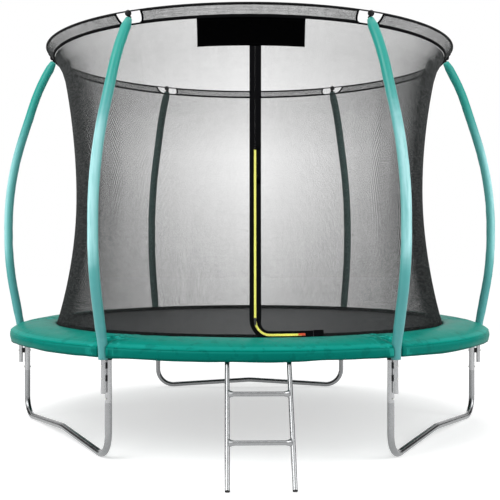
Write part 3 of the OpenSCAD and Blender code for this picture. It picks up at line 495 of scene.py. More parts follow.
def turn_round(bm, geom, start, sweep, steps, **how):
    """Turns geometry about the upright axis, from a start through a sweep, both in radians."""
    bmesh.ops.rotate(bm, cent=(0, 0, 0), matrix=Matrix.Rotation(start, 3, "Z"), verts=points_of(geom))
    bmesh.ops.spin(bm, geom=geom, cent=(0, 0, 0), axis=(0, 0, 1), angle=sweep, steps=steps, **how)


def spun(profile, steps, sweep=360.0, start=0.0, closed=False):
    """A profile of (radius, height) points turned about the upright axis."""
    bm = bmesh.new()
    points = [bm.verts.new((r, 0, z)) for r, z in profile]
    ring = points + points[:1] if closed else points
    edges = [bm.edges.new(pair) for pair in zip(ring, ring[1:])]
    whole = dict(use_merge=sweep == 360.0, use_duplicate=False)
    turn_round(bm, points + edges, radians(start), radians(sweep), steps, **whole)
    return face_outwards(bm)


def shift_points(bm, move):
    for v in bm.verts:
        v.co = move(v.co)
    return bm


def absorb(bm, other):
    """Adds one bmesh to another."""
    mesh = bpy.data.meshes.new("part")
    other.to_mesh(mesh)
    other.free()
    bm.from_mesh(mesh)
    bpy.data.meshes.remove(mesh)


def lay_map(bm, place):
    """Writes metres along and across the cloth for each corner, from its point and its face's middle."""
    layer = bm.loops.layers.uv.new("cloth")
    for face in bm.faces:
        middle = face.calc_center_median()
        for loop in face.loops:
            loop[layer].uv = place(loop.vert.co, middle)
    return bm


def grid_cloth(columns, rows, place, put):
    """A flat grid one unit wide, mapped and then put in its place point by point."""
    bm = bmesh.new()
    bmesh.ops.create_grid(bm, x_segments=columns, y_segments=rows, size=0.5)
    return face_outwards(shift_points(lay_map(bm, place), put))


def turn_of(point, middle):
    """The point's angle round the upright axis, on the same side of the seam as its face."""
    a, m = atan2(point.y, point.x), atan2(middle.y, middle.x)
    return a + 2 * pi * round((m - a) / (2 * pi))


def solid_cloth(piece, thick, offset=0.0):
    made = piece.modifiers.new("cloth_thickness", "SOLIDIFY")
    made.thickness, made.offset, made.use_even_offset = thick, offset, True


def within(share):
    return min(1.0, max(0.0, share))


def spread(first, last, steps):
    """Numbers in even steps from the first to the last."""
    return [first + (last - first) * k / steps for k in range(steps + 1)]


def net_radius(z):
    """The net's profile: an arc up to its waist, a slow widening above it, and a flare under the cord."""
    if z < WAIST_Z:
        return WAIST_R + LOWER_CURVE - sqrt(LOWER_CURVE**2 - (z - WAIST_Z) ** 2)
    r = WAIST_R + (z - WAIST_Z) ** 2 / (2 * UPPER_CURVE)
    flare = NET_TOP_R - (WAIST_R + (NET_TOP - WAIST_Z) ** 2 / (2 * UPPER_CURVE))
    return r + flare * max(0.0, (z - FLARE_Z) / (NET_TOP - FLARE_Z)) ** 2


def calm(x, y):
    """0 at the entrance, where the sliders run on the net, and 1 away from it."""
    middle, half, blend = 0.16, 0.26, 0.25
    return 1.0 if y > 0 else within((abs(x - middle) - half) / blend)


def hang(co):
    """Slack of the net: shallow upright folds and a slow drift, but none at its edges and the entrance."""
    depth, noise_place = 0.006, 7
    share = (co.z - NET_FOOT) / (NET_TOP - NET_FOOT)
    loose = max(0.0, 1 - (2 * within(share) - 1) ** 4) * calm(co.x, co.y)
    a, reach = around(co)
    folds = ripple(a, 9, co.z * 0.9 + noise_place)
    drift = noise.noise((co.x * 1.6, co.y * 1.6, co.z * 1.2 - noise_place))
    k = (reach + loose * (depth * folds + depth * drift)) / reach
    return Vector((co.x * k, co.y * k, co.z))


def on_net(x, z, lift=0.0):
    """The point on the front of the net at this width and height."""
    r = net_radius(z) + lift
    return Vector((x, -sqrt(r * r - x * x), z))


# ---- Net

def zip_line(low=ZIP_REACH, high=ZIP_TOP):
    """Width and height along the entrance's zip, from its top to its foot."""
    upright = [(ZIP_X, z) for z in spread(high, BEND_Z, 40)[:-1]]
    turns = [radians(turn) for turn in spread(0, 90, 10)]
    bend = [(BEND_X - ZIP_BEND * cos(a), BEND_Z - ZIP_BEND * sin(a)) for a in turns]
    foot = [(x, LOW_ZIP) for x in spread(BEND_X, low, 10)[1:]]
    return upright + bend + foot


def in_flap(p):
    """True if this point of the front panel belongs to the flap."""
    if p.z > ZIP_TOP or p.x < ZIP_X or p.z < LOW_ZIP:
        return False
    if (p.x - HINGE_TOP.x) * HINGE.z - (p.z - HINGE_TOP.z) * HINGE.x < 0:
        return False
    return not (p.x < BEND_X and p.z < BEND_Z and hypot(p.x - BEND_X, p.z - BEND_Z) > ZIP_BEND)


def net_levels(steps=44):
    return spread(NET_FOOT, NET_TOP, steps)


def cut_entrance(bm):
    """Edges along the entrance's outline, so that the flap's faces come away whole."""
    def cut(point, normal, near):
        faces = [f for f in bm.faces if near(f.calc_center_median())]
        geom = list({v for f in faces for v in f.verts}) + list({e for f in faces for e in f.edges}) + faces
        bmesh.ops.bisect_plane(bm, geom=geom, dist=1e-6, plane_co=point, plane_no=normal)

    beside, left, right = 0.08, -0.1, 0.45
    cut((ZIP_X, 0, 0), (1, 0, 0), lambda p: abs(p.x - ZIP_X) < beside and p.z < ZIP_TOP + beside)
    cut((0, 0, LOW_ZIP), (0, 0, 1), lambda p: p.z < 0.1 and left < p.x < right)
    across = Vector((-HINGE.z, 0, HINGE.x)).normalized()
    cut(HINGE_TOP, across, lambda p: left < p.x < right and p.z < ZIP_TOP + beside)
    for k in range(9):
        a = radians(185 + 10 * k)
        cut(
            (BEND_X + ZIP_BEND * cos(a), 0, BEND_Z + ZIP_BEND * sin(a)), (cos(a), 0, sin(a)),
            lambda p: ZIP_X - 0.03 < p.x < BEND_X + 0.01 and p.z < BEND_Z + 0.01,
        )


def net_map(p, m):
    return turn_of(p, m) * 1.2, p.z * 1.02


def turn_yarns(bm, ends, start, sweep, steps, upright):
    """Turns an upright yarn or some rows about the axis, from pairs of inner and outer points."""
    geom = [v for pair in ends for v in pair] + [bm.edges.new(pair) for pair in ends]
    if upright:
        geom += [bm.faces.new((a[0], a[1], b[1], b[0])) for a, b in zip(ends, ends[1:])]
    turn_round(bm, geom, start, sweep, steps, use_duplicate=upright)


def net_yarns(start):
    """The net's upright yarns and its rows.

    They stand as deep as the net is thick, and hide what is seen past them at a slant."""
    inset = 0.00005
    bm = bmesh.new()
    for levels, turn, steps, upright in (
        (net_levels(24), LEG_STEP / WALES, WALES - 1, True),
        (net_levels(ROWS), 0.0, 40, False),
    ):
        depths = (inset, NET_THICK - inset)
        ends = [[bm.verts.new((net_radius(z) + depth, 0, z)) for depth in depths] for z in levels]
        turn_yarns(bm, ends, radians(start + turn / 2), radians(LEG_STEP - turn), steps, upright)
    return bm


def split_flap(bm):
    """Parts the faces of the front into those round the entrance and those of its flap."""
    flap = bm.copy()
    for part, kept in ((bm, False), (flap, True)):
        gone = [f for f in part.faces if in_flap(f.calc_center_median()) != kept]
        bmesh.ops.delete(part, geom=gone, context="FACES")
    return flap


for label, start in PANELS.items():
    sheet = spun([(net_radius(z) + NET_THICK / 2, z) for z in net_levels()], 48, LEG_STEP, start)
    if label == "front":
        cut_entrance(sheet)
        flap = split_flap(sheet)
    lay_map(shift_points(sheet, hang), net_map)
    panel = add_piece("net_panel_" + label, sheet, NETTING, replaces=["net_" + label])
    solid_cloth(panel, NET_THICK)

    yarns = net_yarns(start)
    if label == "front":
        flap_yarns = split_flap(yarns)
    add_piece("net_yarns_" + label, shift_points(yarns, hang), NET_YARN, smooth=False)

lay_map(flap, net_map)
flap_yarns = add_piece("entrance_flap_yarns", flap_yarns, NET_YARN, body=None, smooth=False)
flap_net = add_piece("entrance_flap", flap, NETTING, body=None, replaces=["door_flap"])
solid_cloth(flap_net, NET_THICK)


def paced(line):
    """The steps of a line, each with the length before it, its own and its ends, and the whole length."""
    steps, total = [], 0.0
    for a, b in zip(line, line[1:]):
        step = hypot(b[0] - a[0], b[1] - a[1])
        steps.append((total, step, a, b))
        total += step
    return steps, total


def ribbon(line, near, far, across=6, upright=1.0):
    """A flat tape on the front of the net, along a line, between two offsets towards the flap.

    It is wider by the factor upright where it stands clear of the hem."""
    clear_from, clear_over = 0.030, 0.070
    bm = bmesh.new()
    grid = bmesh.ops.create_grid(bm, x_segments=len(line) - 1, y_segments=across, size=0.5)["verts"]
    layer = bm.loops.layers.uv.new("cloth")
    steps, total = paced(line)
    length = [step[0] for step in steps] + [total]
    spots = {v: (round((v.co.x + 0.5) * (len(line) - 1)), v.co.y + 0.5) for v in grid}
    for face in bm.faces:
        for loop in face.loops:
            k, share = spots[loop.vert]
            loop[layer].uv = (length[k], near + (far - near) * share)
    for v, (k, share) in spots.items():
        before, after = line[max(k - 1, 0)], line[min(k + 1, len(line) - 1)]
        run = Vector((after[0] - before[0], after[1] - before[1])).normalized()
        clear = within((line[k][1] - clear_from) / clear_over)
        offset = (near + (far - near) * share) * (1 + (upright - 1) * clear)
        v.co = on_net(line[k][0] - run.y * offset, line[k][1] + run.x * offset, TAPE_LIFT)
    bmesh.ops.solidify(bm, geom=bm.faces[:], thickness=TAPE_THICK)
    return face_outwards(bm)


STRIP_TOP = BANNER_TOP - BANNER_HEIGHT + BANNER_LAP
frame_line = zip_line(high=STRIP_TOP, low=ZIP_REACH + TAPE_OVERRUN)
frame_strip = ribbon(frame_line, -TAPE_WIDTH, -TAPE_GAP, upright=1.18)
frame_tape = add_piece("entrance_tape", frame_strip, WEBBING, replaces=["zip_tape"])

upper_line = [(ZIP_X, z) for z in spread(STRIP_TOP, ZIP_TOP - 0.002, 16)]
upper_tape = add_piece("closed_tape", ribbon(upper_line, -TAPE_GAP, UPRIGHT_TAPE_WIDTH), WEBBING)

flap_line = zip_line(low=ZIP_REACH + TAPE_OVERRUN)
flap_strip = ribbon(flap_line, TAPE_GAP, LOW_TAPE_WIDTH, upright=UPRIGHT_TAPE_WIDTH / LOW_TAPE_WIDTH)
flap_tape = add_piece("flap_tape", flap_strip, WEBBING, body=None, replaces=["door_tape"])

end_line = [(ZIP_REACH + x, LOW_ZIP + END_RISE) for x in spread(END_FROM, END_FROM + END_LENGTH, 8)]
tape_end = add_piece("tape_end", ribbon(end_line, -END_HALF, END_HALF), WEBBING)


def teeth(near, far):
    """Moulded teeth along one side of the zip, between two offsets from its line."""
    steps, total = paced(zip_line())
    middle, hair = (near + far) / 2, 0.001
    size = Matrix.Diagonal((abs(far - near), TEETH_DEPTH, TEETH_PITCH * 0.52, 1))
    bm = bmesh.new()
    for n in range(int(total / TEETH_PITCH)):
        s = (n + 0.25) * TEETH_PITCH
        start, step, a, b = next((row for row in steps if row[0] <= s < row[0] + row[1]), steps[-1])
        share = (s - start) / step
        x, z = a[0] + (b[0] - a[0]) * share, a[1] + (b[1] - a[1]) * share
        run = Vector((b[0] - a[0], b[1] - a[1])).normalized()
        spot = on_net(x - run.y * middle, z + run.x * middle, TEETH_LIFT)
        slope = atan2(net_radius(z + hair) - net_radius(z - hair), 2 * hair)
        turn = (
            Matrix.Rotation(asin(spot.x / hypot(spot.x, spot.y)), 4, "Z")
            @ Matrix.Rotation(slope, 4, "X")
            @ Matrix.Rotation(-atan2(run.x, -run.y), 4, "Y")
        )
        bmesh.ops.create_cube(bm, size=1, matrix=Matrix.Translation(spot) @ turn @ size)
    return bm


frame_side, flap_side = teeth(-TEETH_REACH, TEETH_LAP), teeth(-TEETH_LAP, TEETH_REACH)
add_piece("frame_teeth", frame_side, GLOWING_ZIP_YELLOW, replaces=["zip_teeth"], smooth=False)
flap_teeth = add_piece("flap_teeth", flap_side, GLOWING_ZIP_YELLOW, body=None, smooth=False)


def banner_spot(c):
    """Where a point of the banner's grid hangs: it stands off a little towards its foot."""
    wave, down = noise.noise((c.x * 9, c.y * 2, 3.0)), 0.5 - c.y
    lift = BANNER_LIFT + 0.0016 * down * (1 + wave)
    return on_net(BANNER_X + c.x * BANNER_WIDTH, BANNER_TOP - down * BANNER_HEIGHT, lift)


banner_sheet = grid_cloth(
    60, 16, lambda p, m: ((p.x + 0.5) * BANNER_WIDTH, (p.y + 0.5) * BANNER_HEIGHT), banner_spot,
)
banner = add_piece("front_banner", banner_sheet, BANNER_CLOTH, replaces=["banner"])
solid_cloth(banner, BANNER_THICK)


def at_entrance(spot):
    """True where the hem is left out for the tapes of the entrance."""
    if spot.y >= 0 or spot.z <= LOW_ZIP - LOW_TAPE_WIDTH or not ZIP_X < spot.x < HEM_END_X:
        return False
    corner = hypot(spot.x - BEND_X, spot.z - BEND_Z) > ZIP_BEND + LOW_TAPE_WIDTH - 0.003
    return not (corner and spot.x < BEND_X)


hem_levels = spread(HEM_FOOT, HEM_FOOT + HEM_HEIGHT, 5)
hem_sheet = spun([(net_radius(z) - HEM_SINK, z) for z in hem_levels], 720)
left_out = [face for face in hem_sheet.faces if at_entrance(face.calc_center_median())]
bmesh.ops.delete(hem_sheet, geom=left_out, context="FACES")
lay_map(hem_sheet, lambda p, m: (turn_of(p, m) * HEM_MAP_R, p.z))
hem = add_piece("bottom_hem", hem_sheet, WEBBING, replaces=["net_hem"])
solid_cloth(hem, TAPE_THICK)


# ---- Band of doubled netting

def band_gap(share):
    """Room left at a pole's middle line, at a share of the way from the cord to the ring."""
    return BAND_GAP + BAND_ARCH * sqrt(max(0.0, 1 - (1 - share) ** 2))


def band_spot(share):
    """Radius and height between the cord and the ring."""
    return CORD_R + (RING_R - CORD_R) * share, CORD_Z + (RING_Z - CORD_Z) * share


def band_swell(a, share):
    return 0.0035 * sin(pi * share) * ripple(a, 12, share * 2)


def band_sheet(place):
    def put(c):
        share = c.y + 0.5
        r, z = band_spot(share)
        gap = band_gap(share)
        a = radians(place) + gap / r + (c.x + 0.5) * (SECTOR - 2 * gap / r)
        return polar(a, r + band_swell(a, share), z)

    return grid_cloth(64, 8, lambda p, m: (p.x * BAND_LENGTH, p.y * BAND_SLANT), put)


for label, place in LEG_PLACES.items():
    band = add_piece("net_band_" + label, band_sheet(place), BAND_NETTING, replaces=["net_band"])
    solid_cloth(band, BAND_THICK)


def band_yarns(ribs=150, rows=9, depth=0.0006):
    """The upright yarns and the rows of the band, which stand as deep as its doubled netting."""
    rise, out = RING_Z - CORD_Z, RING_R - CORD_R
    normal = Vector((rise, 0, -out)).normalized() * depth
    clear = (BAND_GAP + BAND_ARCH) / CORD_R
    bm = bmesh.new()

    def pair(share):
        r, z = band_spot(share)
        return [bm.verts.new(Vector((r, 0, z)) + side) for side in (normal, -normal)]

    def swell(co):
        a, r = around(co)
        return polar(a, r + band_swell(a, (co.z - CORD_Z) / rise), co.z)

    for place in LEG_PLACES.values():
        start, sweep = radians(place) + clear, SECTOR - 2 * clear
        turn_yarns(bm, [pair(0.04), pair(0.96)], start, sweep, ribs, True)
        turn_yarns(bm, [pair((k + 0.5) / rows) for k in range(rows)], start, sweep, 40, False)
    return shift_points(bm, swell)


add_piece("band_yarns", band_yarns(), NET_YARN, smooth=False)


def tube_along(points, radii, sides, start=None):
    """A round bar through points: a circle drawn out and turned from point to point.

    The radii are one number, or for each point a function of the angle round the bar. Its end rings are
    returned with it."""
    bm = bmesh.new()
    layer = bm.loops.layers.uv.new("cloth")
    seam = start or (points[1] - points[0]).normalized().orthogonal()
    ring = bmesh.ops.create_circle(bm, segments=sides, radius=1)["verts"]
    edges = bm.edges[:]
    first = level = sorted(ring, key=lambda v: atan2(v.co.y, v.co.x) % (2 * pi))
    rank = {v: k for k, v in enumerate(first)}
    place, length = {}, 0.0
    for k, point in enumerate(points):
        if k:
            drawn = bmesh.ops.extrude_edge_only(bm, edges=edges)["geom"]
            new, below = set(points_of(drawn)), set(level)
            edges = [g for g in drawn if isinstance(g, bmesh.types.BMEdge) and new.issuperset(g.verts)]
            for v in new:
                rank[v] = next(rank[o] for o in (e.other_vert(v) for e in v.link_edges) if o in below)
            level = sorted(new, key=rank.get)
            length += (point - points[k - 1]).length
        ahead = (points[min(k + 1, len(points) - 1)] - points[max(k - 1, 0)]).normalized()
        seam = (seam - ahead * seam.dot(ahead)).normalized()
        side = ahead.cross(seam)
        for j, v in enumerate(level):
            a = 2 * pi * j / sides
            r = radii[k](a) if isinstance(radii, list) else radii
            v.co = point + (seam * cos(a) + side * sin(a)) * r
            place[v] = (length, j, r)
    for face in bm.faces:
        ranks = [place[loop.vert][1] for loop in face.loops]
        for loop in face.loops:
            s, j, r = place[loop.vert]
            if max(ranks) - min(ranks) > sides / 2 and j == 0:
                j = sides
            loop[layer].uv = (s, j / sides * 2 * pi * r)
    return bm, [first, level]


def capped(made):
    bm, ends = made
    for ring in ends:
        bm.faces.new(ring)
    return face_outwards(bm)


# Dark binding round the ends of the band, and the elastic cord under it
binding = bmesh.new()
for place in LEG_PLACES.values():
    for sign in (1, -1):
        points = []
        for share in spread(0, 1, 12):
            r, z = band_spot(share)
            points.append(polar(radians(place) + sign * band_gap(share) / r, r, z))
        absorb(binding, capped(tube_along(points, BINDING_R, 8)))
add_piece("band_binding", binding, WEBBING)

cord_ring = [radians(45 * k) for k in range(8)]
cord_profile = [(CORD_R + CORD_TUBE_R * cos(a), CORD_Z + CORD_TUBE_R * sin(a)) for a in cord_ring]
cord = spun(cord_profile, 180, closed=True)
lay_map(cord, lambda p, m: (turn_of(p, m) * CORD_R, atan2(p.z - CORD_Z, hypot(p.x, p.y) - CORD_R) * 0.0055))
add_piece("top_cord", cord, WEBBING, replaces=["net_cord"])


# ---- Entrance pieces, with their placing baked into their points

for piece in (flap_net, flap_yarns, flap_tape, flap_teeth):
    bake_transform(piece)


# ---- Pad and skirt

def pole_turn(a):
    """The angle from the nearest pole, in radians."""
    return (a + SECTOR / 2) % SECTOR - SECTOR / 2


def crowd(bm, amount=0.86):
    """Draws the steps of a spun shape together at the poles, where the cover folds round them."""
    def move(co):
        a, r = around(co)
        return polar(a - amount * sin(6 * pole_turn(a)) / 6, r, co.z)
    return shift_points(bm, move)


def rim_radius(b):
    """How far the pad reaches at an angle from a pole, with the notch that the pole stands in."""
    off = abs(b) * POLE_R
    if off >= NOTCH_R:
        return PAD_OUTER
    return min(PAD_OUTER, POLE_R - sqrt(NOTCH_R * NOTCH_R - off * off))


def pad_reach(t, outer=PAD_OUTER):
    """Distance from the middle, at a share t of the way from the pad's inner edge to its outer one."""
    return PAD_INNER + t * (outer - PAD_INNER)


def pad_drop(t):
    return PAD_UNDER - PAD_FALL * t**2.8


def pad_thick(t):
    return PAD_EDGE + (PAD_FOAM - PAD_EDGE) * (1 - abs(2 * t - 1) ** 5)


def pad_shape():
    """The pad's closed section turned about the axis, notched at the poles and folded on its upper side."""
    top = spread(0, 1, 20)
    profile = [(pad_reach(t), pad_drop(t) + pad_thick(t)) for t in top]
    profile += [(pad_reach(t), pad_drop(t)) for t in reversed(top[::2])]

    def shape(co):
        a, r = around(co)
        b = pole_turn(a)
        t = within((r - PAD_INNER) / (PAD_OUTER - PAD_INNER))
        lift = 0.0
        if co.z > pad_drop(t) + 0.5 * pad_thick(t):
            fold, slow = ripple(a, 26, t * 1.5), ripple(a, 3.2, t * 2.0 + 5)
            pucker = noise.noise((b * POLE_R * 42, t * 5, round(degrees(a) / LEG_STEP)))
            near = exp(-((b * POLE_R / 0.16) ** 2))
            lift = sin(pi * t) ** 0.5 * (0.0036 * slow + 0.0020 * fold + near * 0.0070 * pucker)
        return polar(a, pad_reach(t, rim_radius(b)), co.z + lift)

    bm = shift_points(crowd(spun(profile, PAD_STEPS, closed=True)), shape)
    return lay_map(bm, lambda p, m: (turn_of(p, m) * 1.42, hypot(p.x, p.y)))


pad = add_piece("edge_pad", pad_shape(), PAD_COVER, replaces=["pad"])


def skirt_shape():
    """The cloth that hangs from the pad's rim, rolled in at its head and wavy at its foot."""
    top = pad_drop(1) + PAD_EDGE + 0.001

    def shape(co):
        a, _ = around(co)
        b = pole_turn(a)
        share = (top - co.z) / (top - SKIRT_FOOT)
        near = exp(-((b * POLE_R / 0.11) ** 2))
        wave, fold = ripple(a, 7, 1.5), ripple(a, 30, share * 0.8)
        drop = 0.0055 * ripple(a, 4, 8.5) + 0.003 * ripple(a, 13, 2.5)
        roll = max(0.0, 1 - share / 0.22)
        r = rim_radius(b) - 0.001 + share * (0.004 * wave + 0.0026 * fold * (1 + 2 * near))
        r += 0.0055 * sin(pi * min(1.0, share * 1.1)) - 0.007 * roll * roll
        return polar(a, r, co.z + share * drop)

    bm = spun([(PAD_OUTER, z) for z in spread(top, SKIRT_FOOT, 14)], PAD_STEPS)
    shift_points(crowd(bm), shape)
    return lay_map(bm, lambda p, m: (turn_of(p, m) * PAD_OUTER, p.z))


skirt = add_piece("pad_skirt_cloth", skirt_shape(), SHADED_SKIRT_COVER, replaces=["pad_skirt"])
solid_cloth(skirt, SKIRT_THICK, -1.0)


# ---- Sleeves on the poles

# Runs of a pole from its foot to its tip: radius of the bend, or length where it is straight, and degrees
POLE_RUNS = (
    (0.195, 0), (0.400, -10.9), (0.225, 0), (1.930, 10.9),
    (0.055, 0), (1.930, 18.0), (0.235, 0), (1.300, 11.0), (0.045, 0),
)
TIP_LEAN, TIP_STEP = radians(29), 0.0113


def pole_line(longest=0.014):
    """Points (radius, height, distance) up a pole's middle line, and on into its cap."""
    r, z, lean, s = POLE_R, POLE_FOOT + GROUND, 0.0, 0.0
    line = [(r, z, s)]
    for size, bend in POLE_RUNS:
        reach = size * radians(abs(bend)) if bend else size
        n = max(1, ceil(reach / longest))
        part, turn = reach / n, radians(bend) / n
        for _ in range(n):
            r -= part * sin(lean + turn / 2)
            z += part * cos(lean + turn / 2)
            lean += turn
            s += part
            line.append((r, z, s))
    for k in range(1, 4):
        line.append((r - TIP_STEP * k * sin(TIP_LEAN), z + TIP_STEP * k * cos(TIP_LEAN), s + TIP_STEP * k))
    return line, s


POLE_LINE, TIP = pole_line()
SLEEVE_FROM, SLEEVE_TO = SLEEVE_FOOT - POLE_FOOT, TIP + 0.034


def sleeve_radius(s):
    """Outer radius of a sleeve at a distance up the pole: a tied neck, a full body and a gathered top."""
    neck, top = 0.0262, 0.0195
    neck_end, full, gather = 0.290, 0.355, 0.05
    if s < full:
        k = max(0.0, (s - neck_end) / (full - neck_end))
        return neck + (SLEEVE_R - neck) * (3 * k * k - 2 * k**3)
    k = max(0.0, (s - SLEEVE_TO + gather) / gather)
    return SLEEVE_R + (top - SLEEVE_R) * k


def sleeve_shape(place, number):
    """A sleeve round its pole, creased inside the bends, with both ends drawn in to the tube."""
    out = polar(radians(place), 1.0, 0)

    def creased(s):
        def ring(a):
            crease = noise.noise((cos(a) * 1.1 + number * 7, sin(a) * 1.1, s * 17))
            small = noise.noise((cos(a) * 2.2, sin(a) * 2.2 + number * 3, s * 55))
            return sleeve_radius(s) + 0.0013 * crease * (0.6 - 0.4 * cos(a)) + 0.0007 * small
        return ring

    line = [p for p in POLE_LINE if SLEEVE_FROM <= p[2] <= SLEEVE_TO]
    points = [out * r + Vector((0, 0, z)) for r, z, _ in line]
    bm, ends = tube_along(points, [creased(s) for _, _, s in line], 28, start=out)
    for ring in ends:
        middle = sum((v.co for v in ring), Vector()) / len(ring)
        edges = [e for e in bm.edges if e.is_boundary and set(ring).issuperset(e.verts)]
        for v in points_of(bmesh.ops.extrude_edge_only(bm, edges=edges)["geom"]):
            v.co = middle + (v.co - middle).normalized() * (POLE_TUBE_R + 0.0006)
    return face_outwards(bm)


for number, (label, place) in enumerate(LEG_PLACES.items()):
    # The back sleeves take the darker copy of the cover, as painted shade
    shape, cover = sleeve_shape(place, number), SHADED_SLEEVE_COVER if "back" in label else SLEEVE_COVER
    node = "sleeve_" + label
    sleeve = add_piece("pole_" + node, shape, cover, replaces=[node])


# ---- Mat, webbing and springs

def disc(profile, merge=1e-6):
    """A profile that ends on the axis, turned about it, with its middle closed."""
    bm = spun(profile, 144)
    bmesh.ops.remove_doubles(bm, verts=bm.verts, dist=merge)
    return bm


mat_disc = disc(
    [(MAT_R, -MAT_THICK), (MAT_R, 0.0006), (MAT_R - 0.001, MAT_HEM_RISE), (MAT_HEM_R, MAT_HEM_RISE)]
    + [(MAT_HEM_R - 0.0002, 0.0)] + [(r, 0.0) for r in spread(MAT_HEM_R, 0, 16)[1:]]
)
absorb(mat_disc, disc([(r, -MAT_THICK) for r in spread(MAT_R, 0, 2)]))
bmesh.ops.remove_doubles(mat_disc, verts=mat_disc.verts, dist=1e-6)
lay_map(face_outwards(mat_disc), lambda p, m: (p.x, p.y))
mat = add_piece("jumping_mat", mat_disc, MAT_CLOTH, body="mat", replaces=["mat"], smooth=False)

web = spun([(r, WEBBING_Z) for r in spread(MAT_R - WEBBING_WIDTH, MAT_R, 4)], 144)
lay_map(web, lambda p, m: (turn_of(p, m) * MAT_R, hypot(p.x, p.y)))
web_piece = add_piece("mat_edge_webbing", web, WEBBING, body="mat", replaces=["mat_webbing"])
solid_cloth(web_piece, WEBBING_THICK)

SPRINGS, WIRE, COIL_R, TURNS, TURN_STEPS = 54, 0.0017, 0.0062, 26, 8
COIL_IN, COIL_OUT = Vector((1.363, 0, -0.0103)), Vector((1.471, 0, -0.0191))
IN_BEND = ((1.335, -0.0103), (1.3275, -0.0085), (1.3262, -0.0040), (1.3290, -0.0010))
OUT_BEND = ((1.492, -0.0215), (1.500, -0.0240), (1.502, -0.0300))


def spring_shape(turn):
    """A close-wound coil with a hook at both ends, drawn along the X axis and then turned."""
    reach = COIL_OUT - COIL_IN
    steps = TURNS * TURN_STEPS
    bm = bmesh.new()
    upright = Matrix.Rotation(radians(90), 4, "Y") @ Matrix.Rotation(radians(90), 4, "X")
    place = Matrix.Translation((0, 0, COIL_R)) @ upright
    ring = bmesh.ops.create_circle(bm, segments=5, radius=WIRE, matrix=place)["verts"]
    bmesh.ops.spin(
        bm, geom=ring + list({e for v in ring for e in v.link_edges}), cent=(0, 0, 0), axis=(1, 0, 0),
        angle=2 * pi * TURNS, steps=steps, dvec=(reach.length / steps, 0, 0), use_duplicate=False,
    )
    bmesh.ops.holes_fill(bm, edges=[e for e in bm.edges if e.is_boundary], sides=8)
    slope = Matrix.Rotation(atan2(-reach.z, reach.x), 4, "Y")
    bmesh.ops.transform(bm, matrix=Matrix.Translation(COIL_IN) @ slope, verts=bm.verts)
    for end, inward, bend in ((COIL_IN, 1, IN_BEND), (COIL_OUT, -1, OUT_BEND)):
        points = [end + Vector((0.004 * inward, 0, 0.004)), end + Vector((-0.008 * inward, 0, 0.001))]
        points += [Vector((x, 0, z)) for x, z in bend]
        absorb(bm, capped(tube_along(points, WIRE, 6)))
    bmesh.ops.rotate(bm, cent=(0, 0, 0), matrix=Matrix.Rotation(turn, 3, "Z"), verts=bm.verts)
    return bm


for n in range(SPRINGS):
    turn = 2 * pi * (n + 0.5) / SPRINGS
    name = f"spring_{n + 1:02d}"
    spring = add_piece(name, spring_shape(turn), SPRING_STEEL, body=None, replaces=["springs"])
    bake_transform(spring)


# ---- Finishes of the hard parts

# Each finish with what its nodes' names start with. A later line takes over from an earlier one
for finish, starts in (
    (STEEL, ("rail_", "leg_", "pole_")),
    # The feet take the darker steel, as painted shade
    (SHADED_FOOT_STEEL, ("w_leg_",)),
    (LADDER_STEEL, ("ladder_rail", "ladder_treads")),
    (BOLT_STEEL, ("frame_bolts",)),
    (SPRING_STEEL, ("v_rings",)),
    (RING_ROD, ("top_ring",)),
    (BLACK_PLASTIC, ("pole_spacers", "pole_caps", "leg_wraps", "ladder_plugs")),
    (SLIDER_METAL, ("zip_slider", "zip_pull")),
    (PULL_ORANGE, ("low_slider", "low_pull")),
):
    for node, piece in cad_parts.items():
        if node.startswith(starts):
            piece.data.materials.clear()
            piece.data.materials.append(finish.material)


# ---- Studio

def board(name, size, place, finish):
    """A flat square of the studio."""
    bm = bmesh.new()
    bmesh.ops.create_grid(bm, x_segments=1, y_segments=1, size=size, matrix=place)
    return add_piece(name, bm, finish, body=None, smooth=False)


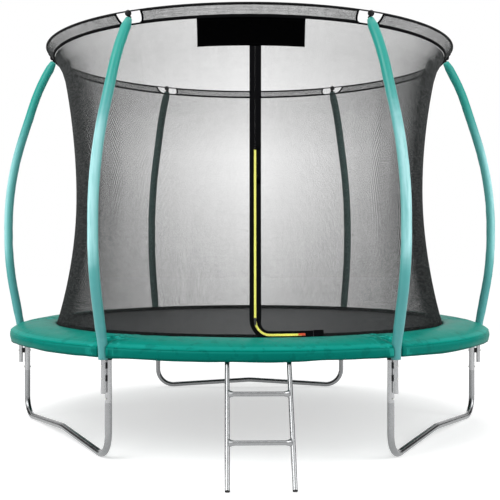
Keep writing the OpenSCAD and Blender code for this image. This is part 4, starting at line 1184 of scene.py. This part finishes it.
def studio():
    """A pale floor and background, soft lamps, two dark cards for the tubes to reflect, and the camera."""
    scene = bpy.context.scene
    grey = (0.78, 0.78, 0.78)
    paint = Finish("floor_paint", grey, 0.9, specular=0.05, Emission_Color=(1, 1, 1, 1))
    far = paint.round_place()[2].over(6.5, 7.0)
    glow = paint.rays("Camera", "Glossy") * (far * 0.48 + 0.52)
    paint.feed(Emission_Strength=glow, Base_Color=paint.shade(far, grey, (0.0, 0.0, 0.0)))
    board("floor", 30, Matrix.Translation((0, 0, GROUND)), paint)

    for name, side in (("card_left", -1), ("card_right", 1)):
        spot = Matrix.Translation((7.5 * side, 0.5, 2.0)) @ Matrix.Rotation(radians(90), 4, "Y")
        dark = Finish(name, (0.08, 0.08, 0.08), 0.9, specular=0.0)
        card = board(name, 1, spot @ Matrix.Diagonal((4.0, 5.5, 1, 1)), dark)
        card.visible_camera = card.visible_diffuse = card.visible_shadow = card.visible_transmission = False

    scene.world = bpy.data.worlds.new("studio")
    scene.world.use_nodes = True
    sky = Nodes(scene.world.node_tree)
    back = next(n for n in sky.tree.nodes if n.type == "BACKGROUND")
    back.inputs["Color"].default_value = (1, 1, 1, 1)
    strength = sky.rays("Camera", "Transmission", "Glossy") * 0.54 + 0.46
    sky.tree.links.new(strength.socket, back.inputs["Strength"])

    for name, power, size, spot, aim in (
        ("key", 175, 3.5, (-3.2, -4.6, 4.6), (0, 0, 0.4)),
        ("fill", 80, 4.0, (4.4, -3.8, 3.0), (0, 0, 0.4)),
        ("side_left", 75, 2.2, (-5.2, -2.2, 1.3), (-0.8, -1.2, 0.5)),
        ("side_right", 75, 2.2, (5.2, -2.2, 1.3), (0.8, -1.2, 0.5)),
        ("top", 130, 5.0, (0, 0.6, 5.4), (0, 0, 0)),
        ("rear", 50, 4.0, (0.5, 5.2, 3.4), (0, 0, 0.6)),
    ):
        lamp = bpy.data.lights.new(name, "AREA")
        lamp.energy, lamp.shape, lamp.size = power, "SQUARE", size
        holder = bpy.data.objects.new(name, lamp)
        scene.collection.objects.link(holder)
        holder.location = spot
        holder.rotation_euler = (Vector(aim) - Vector(spot)).to_track_quat("-Z", "Y").to_euler()

    eye = bpy.data.cameras.new("camera")
    eye.sensor_width, eye.lens, eye.clip_end = 36.0, 64.8, 100
    eye.shift_x, eye.shift_y = 0.0008, -0.002
    camera = bpy.data.objects.new("camera", eye)
    scene.collection.objects.link(camera)
    camera.location = (0, -6.1, 0.485)
    camera.rotation_euler = (radians(90), 0, 0)
    scene.camera = camera
    scene.view_settings.view_transform = "Standard"


studio()
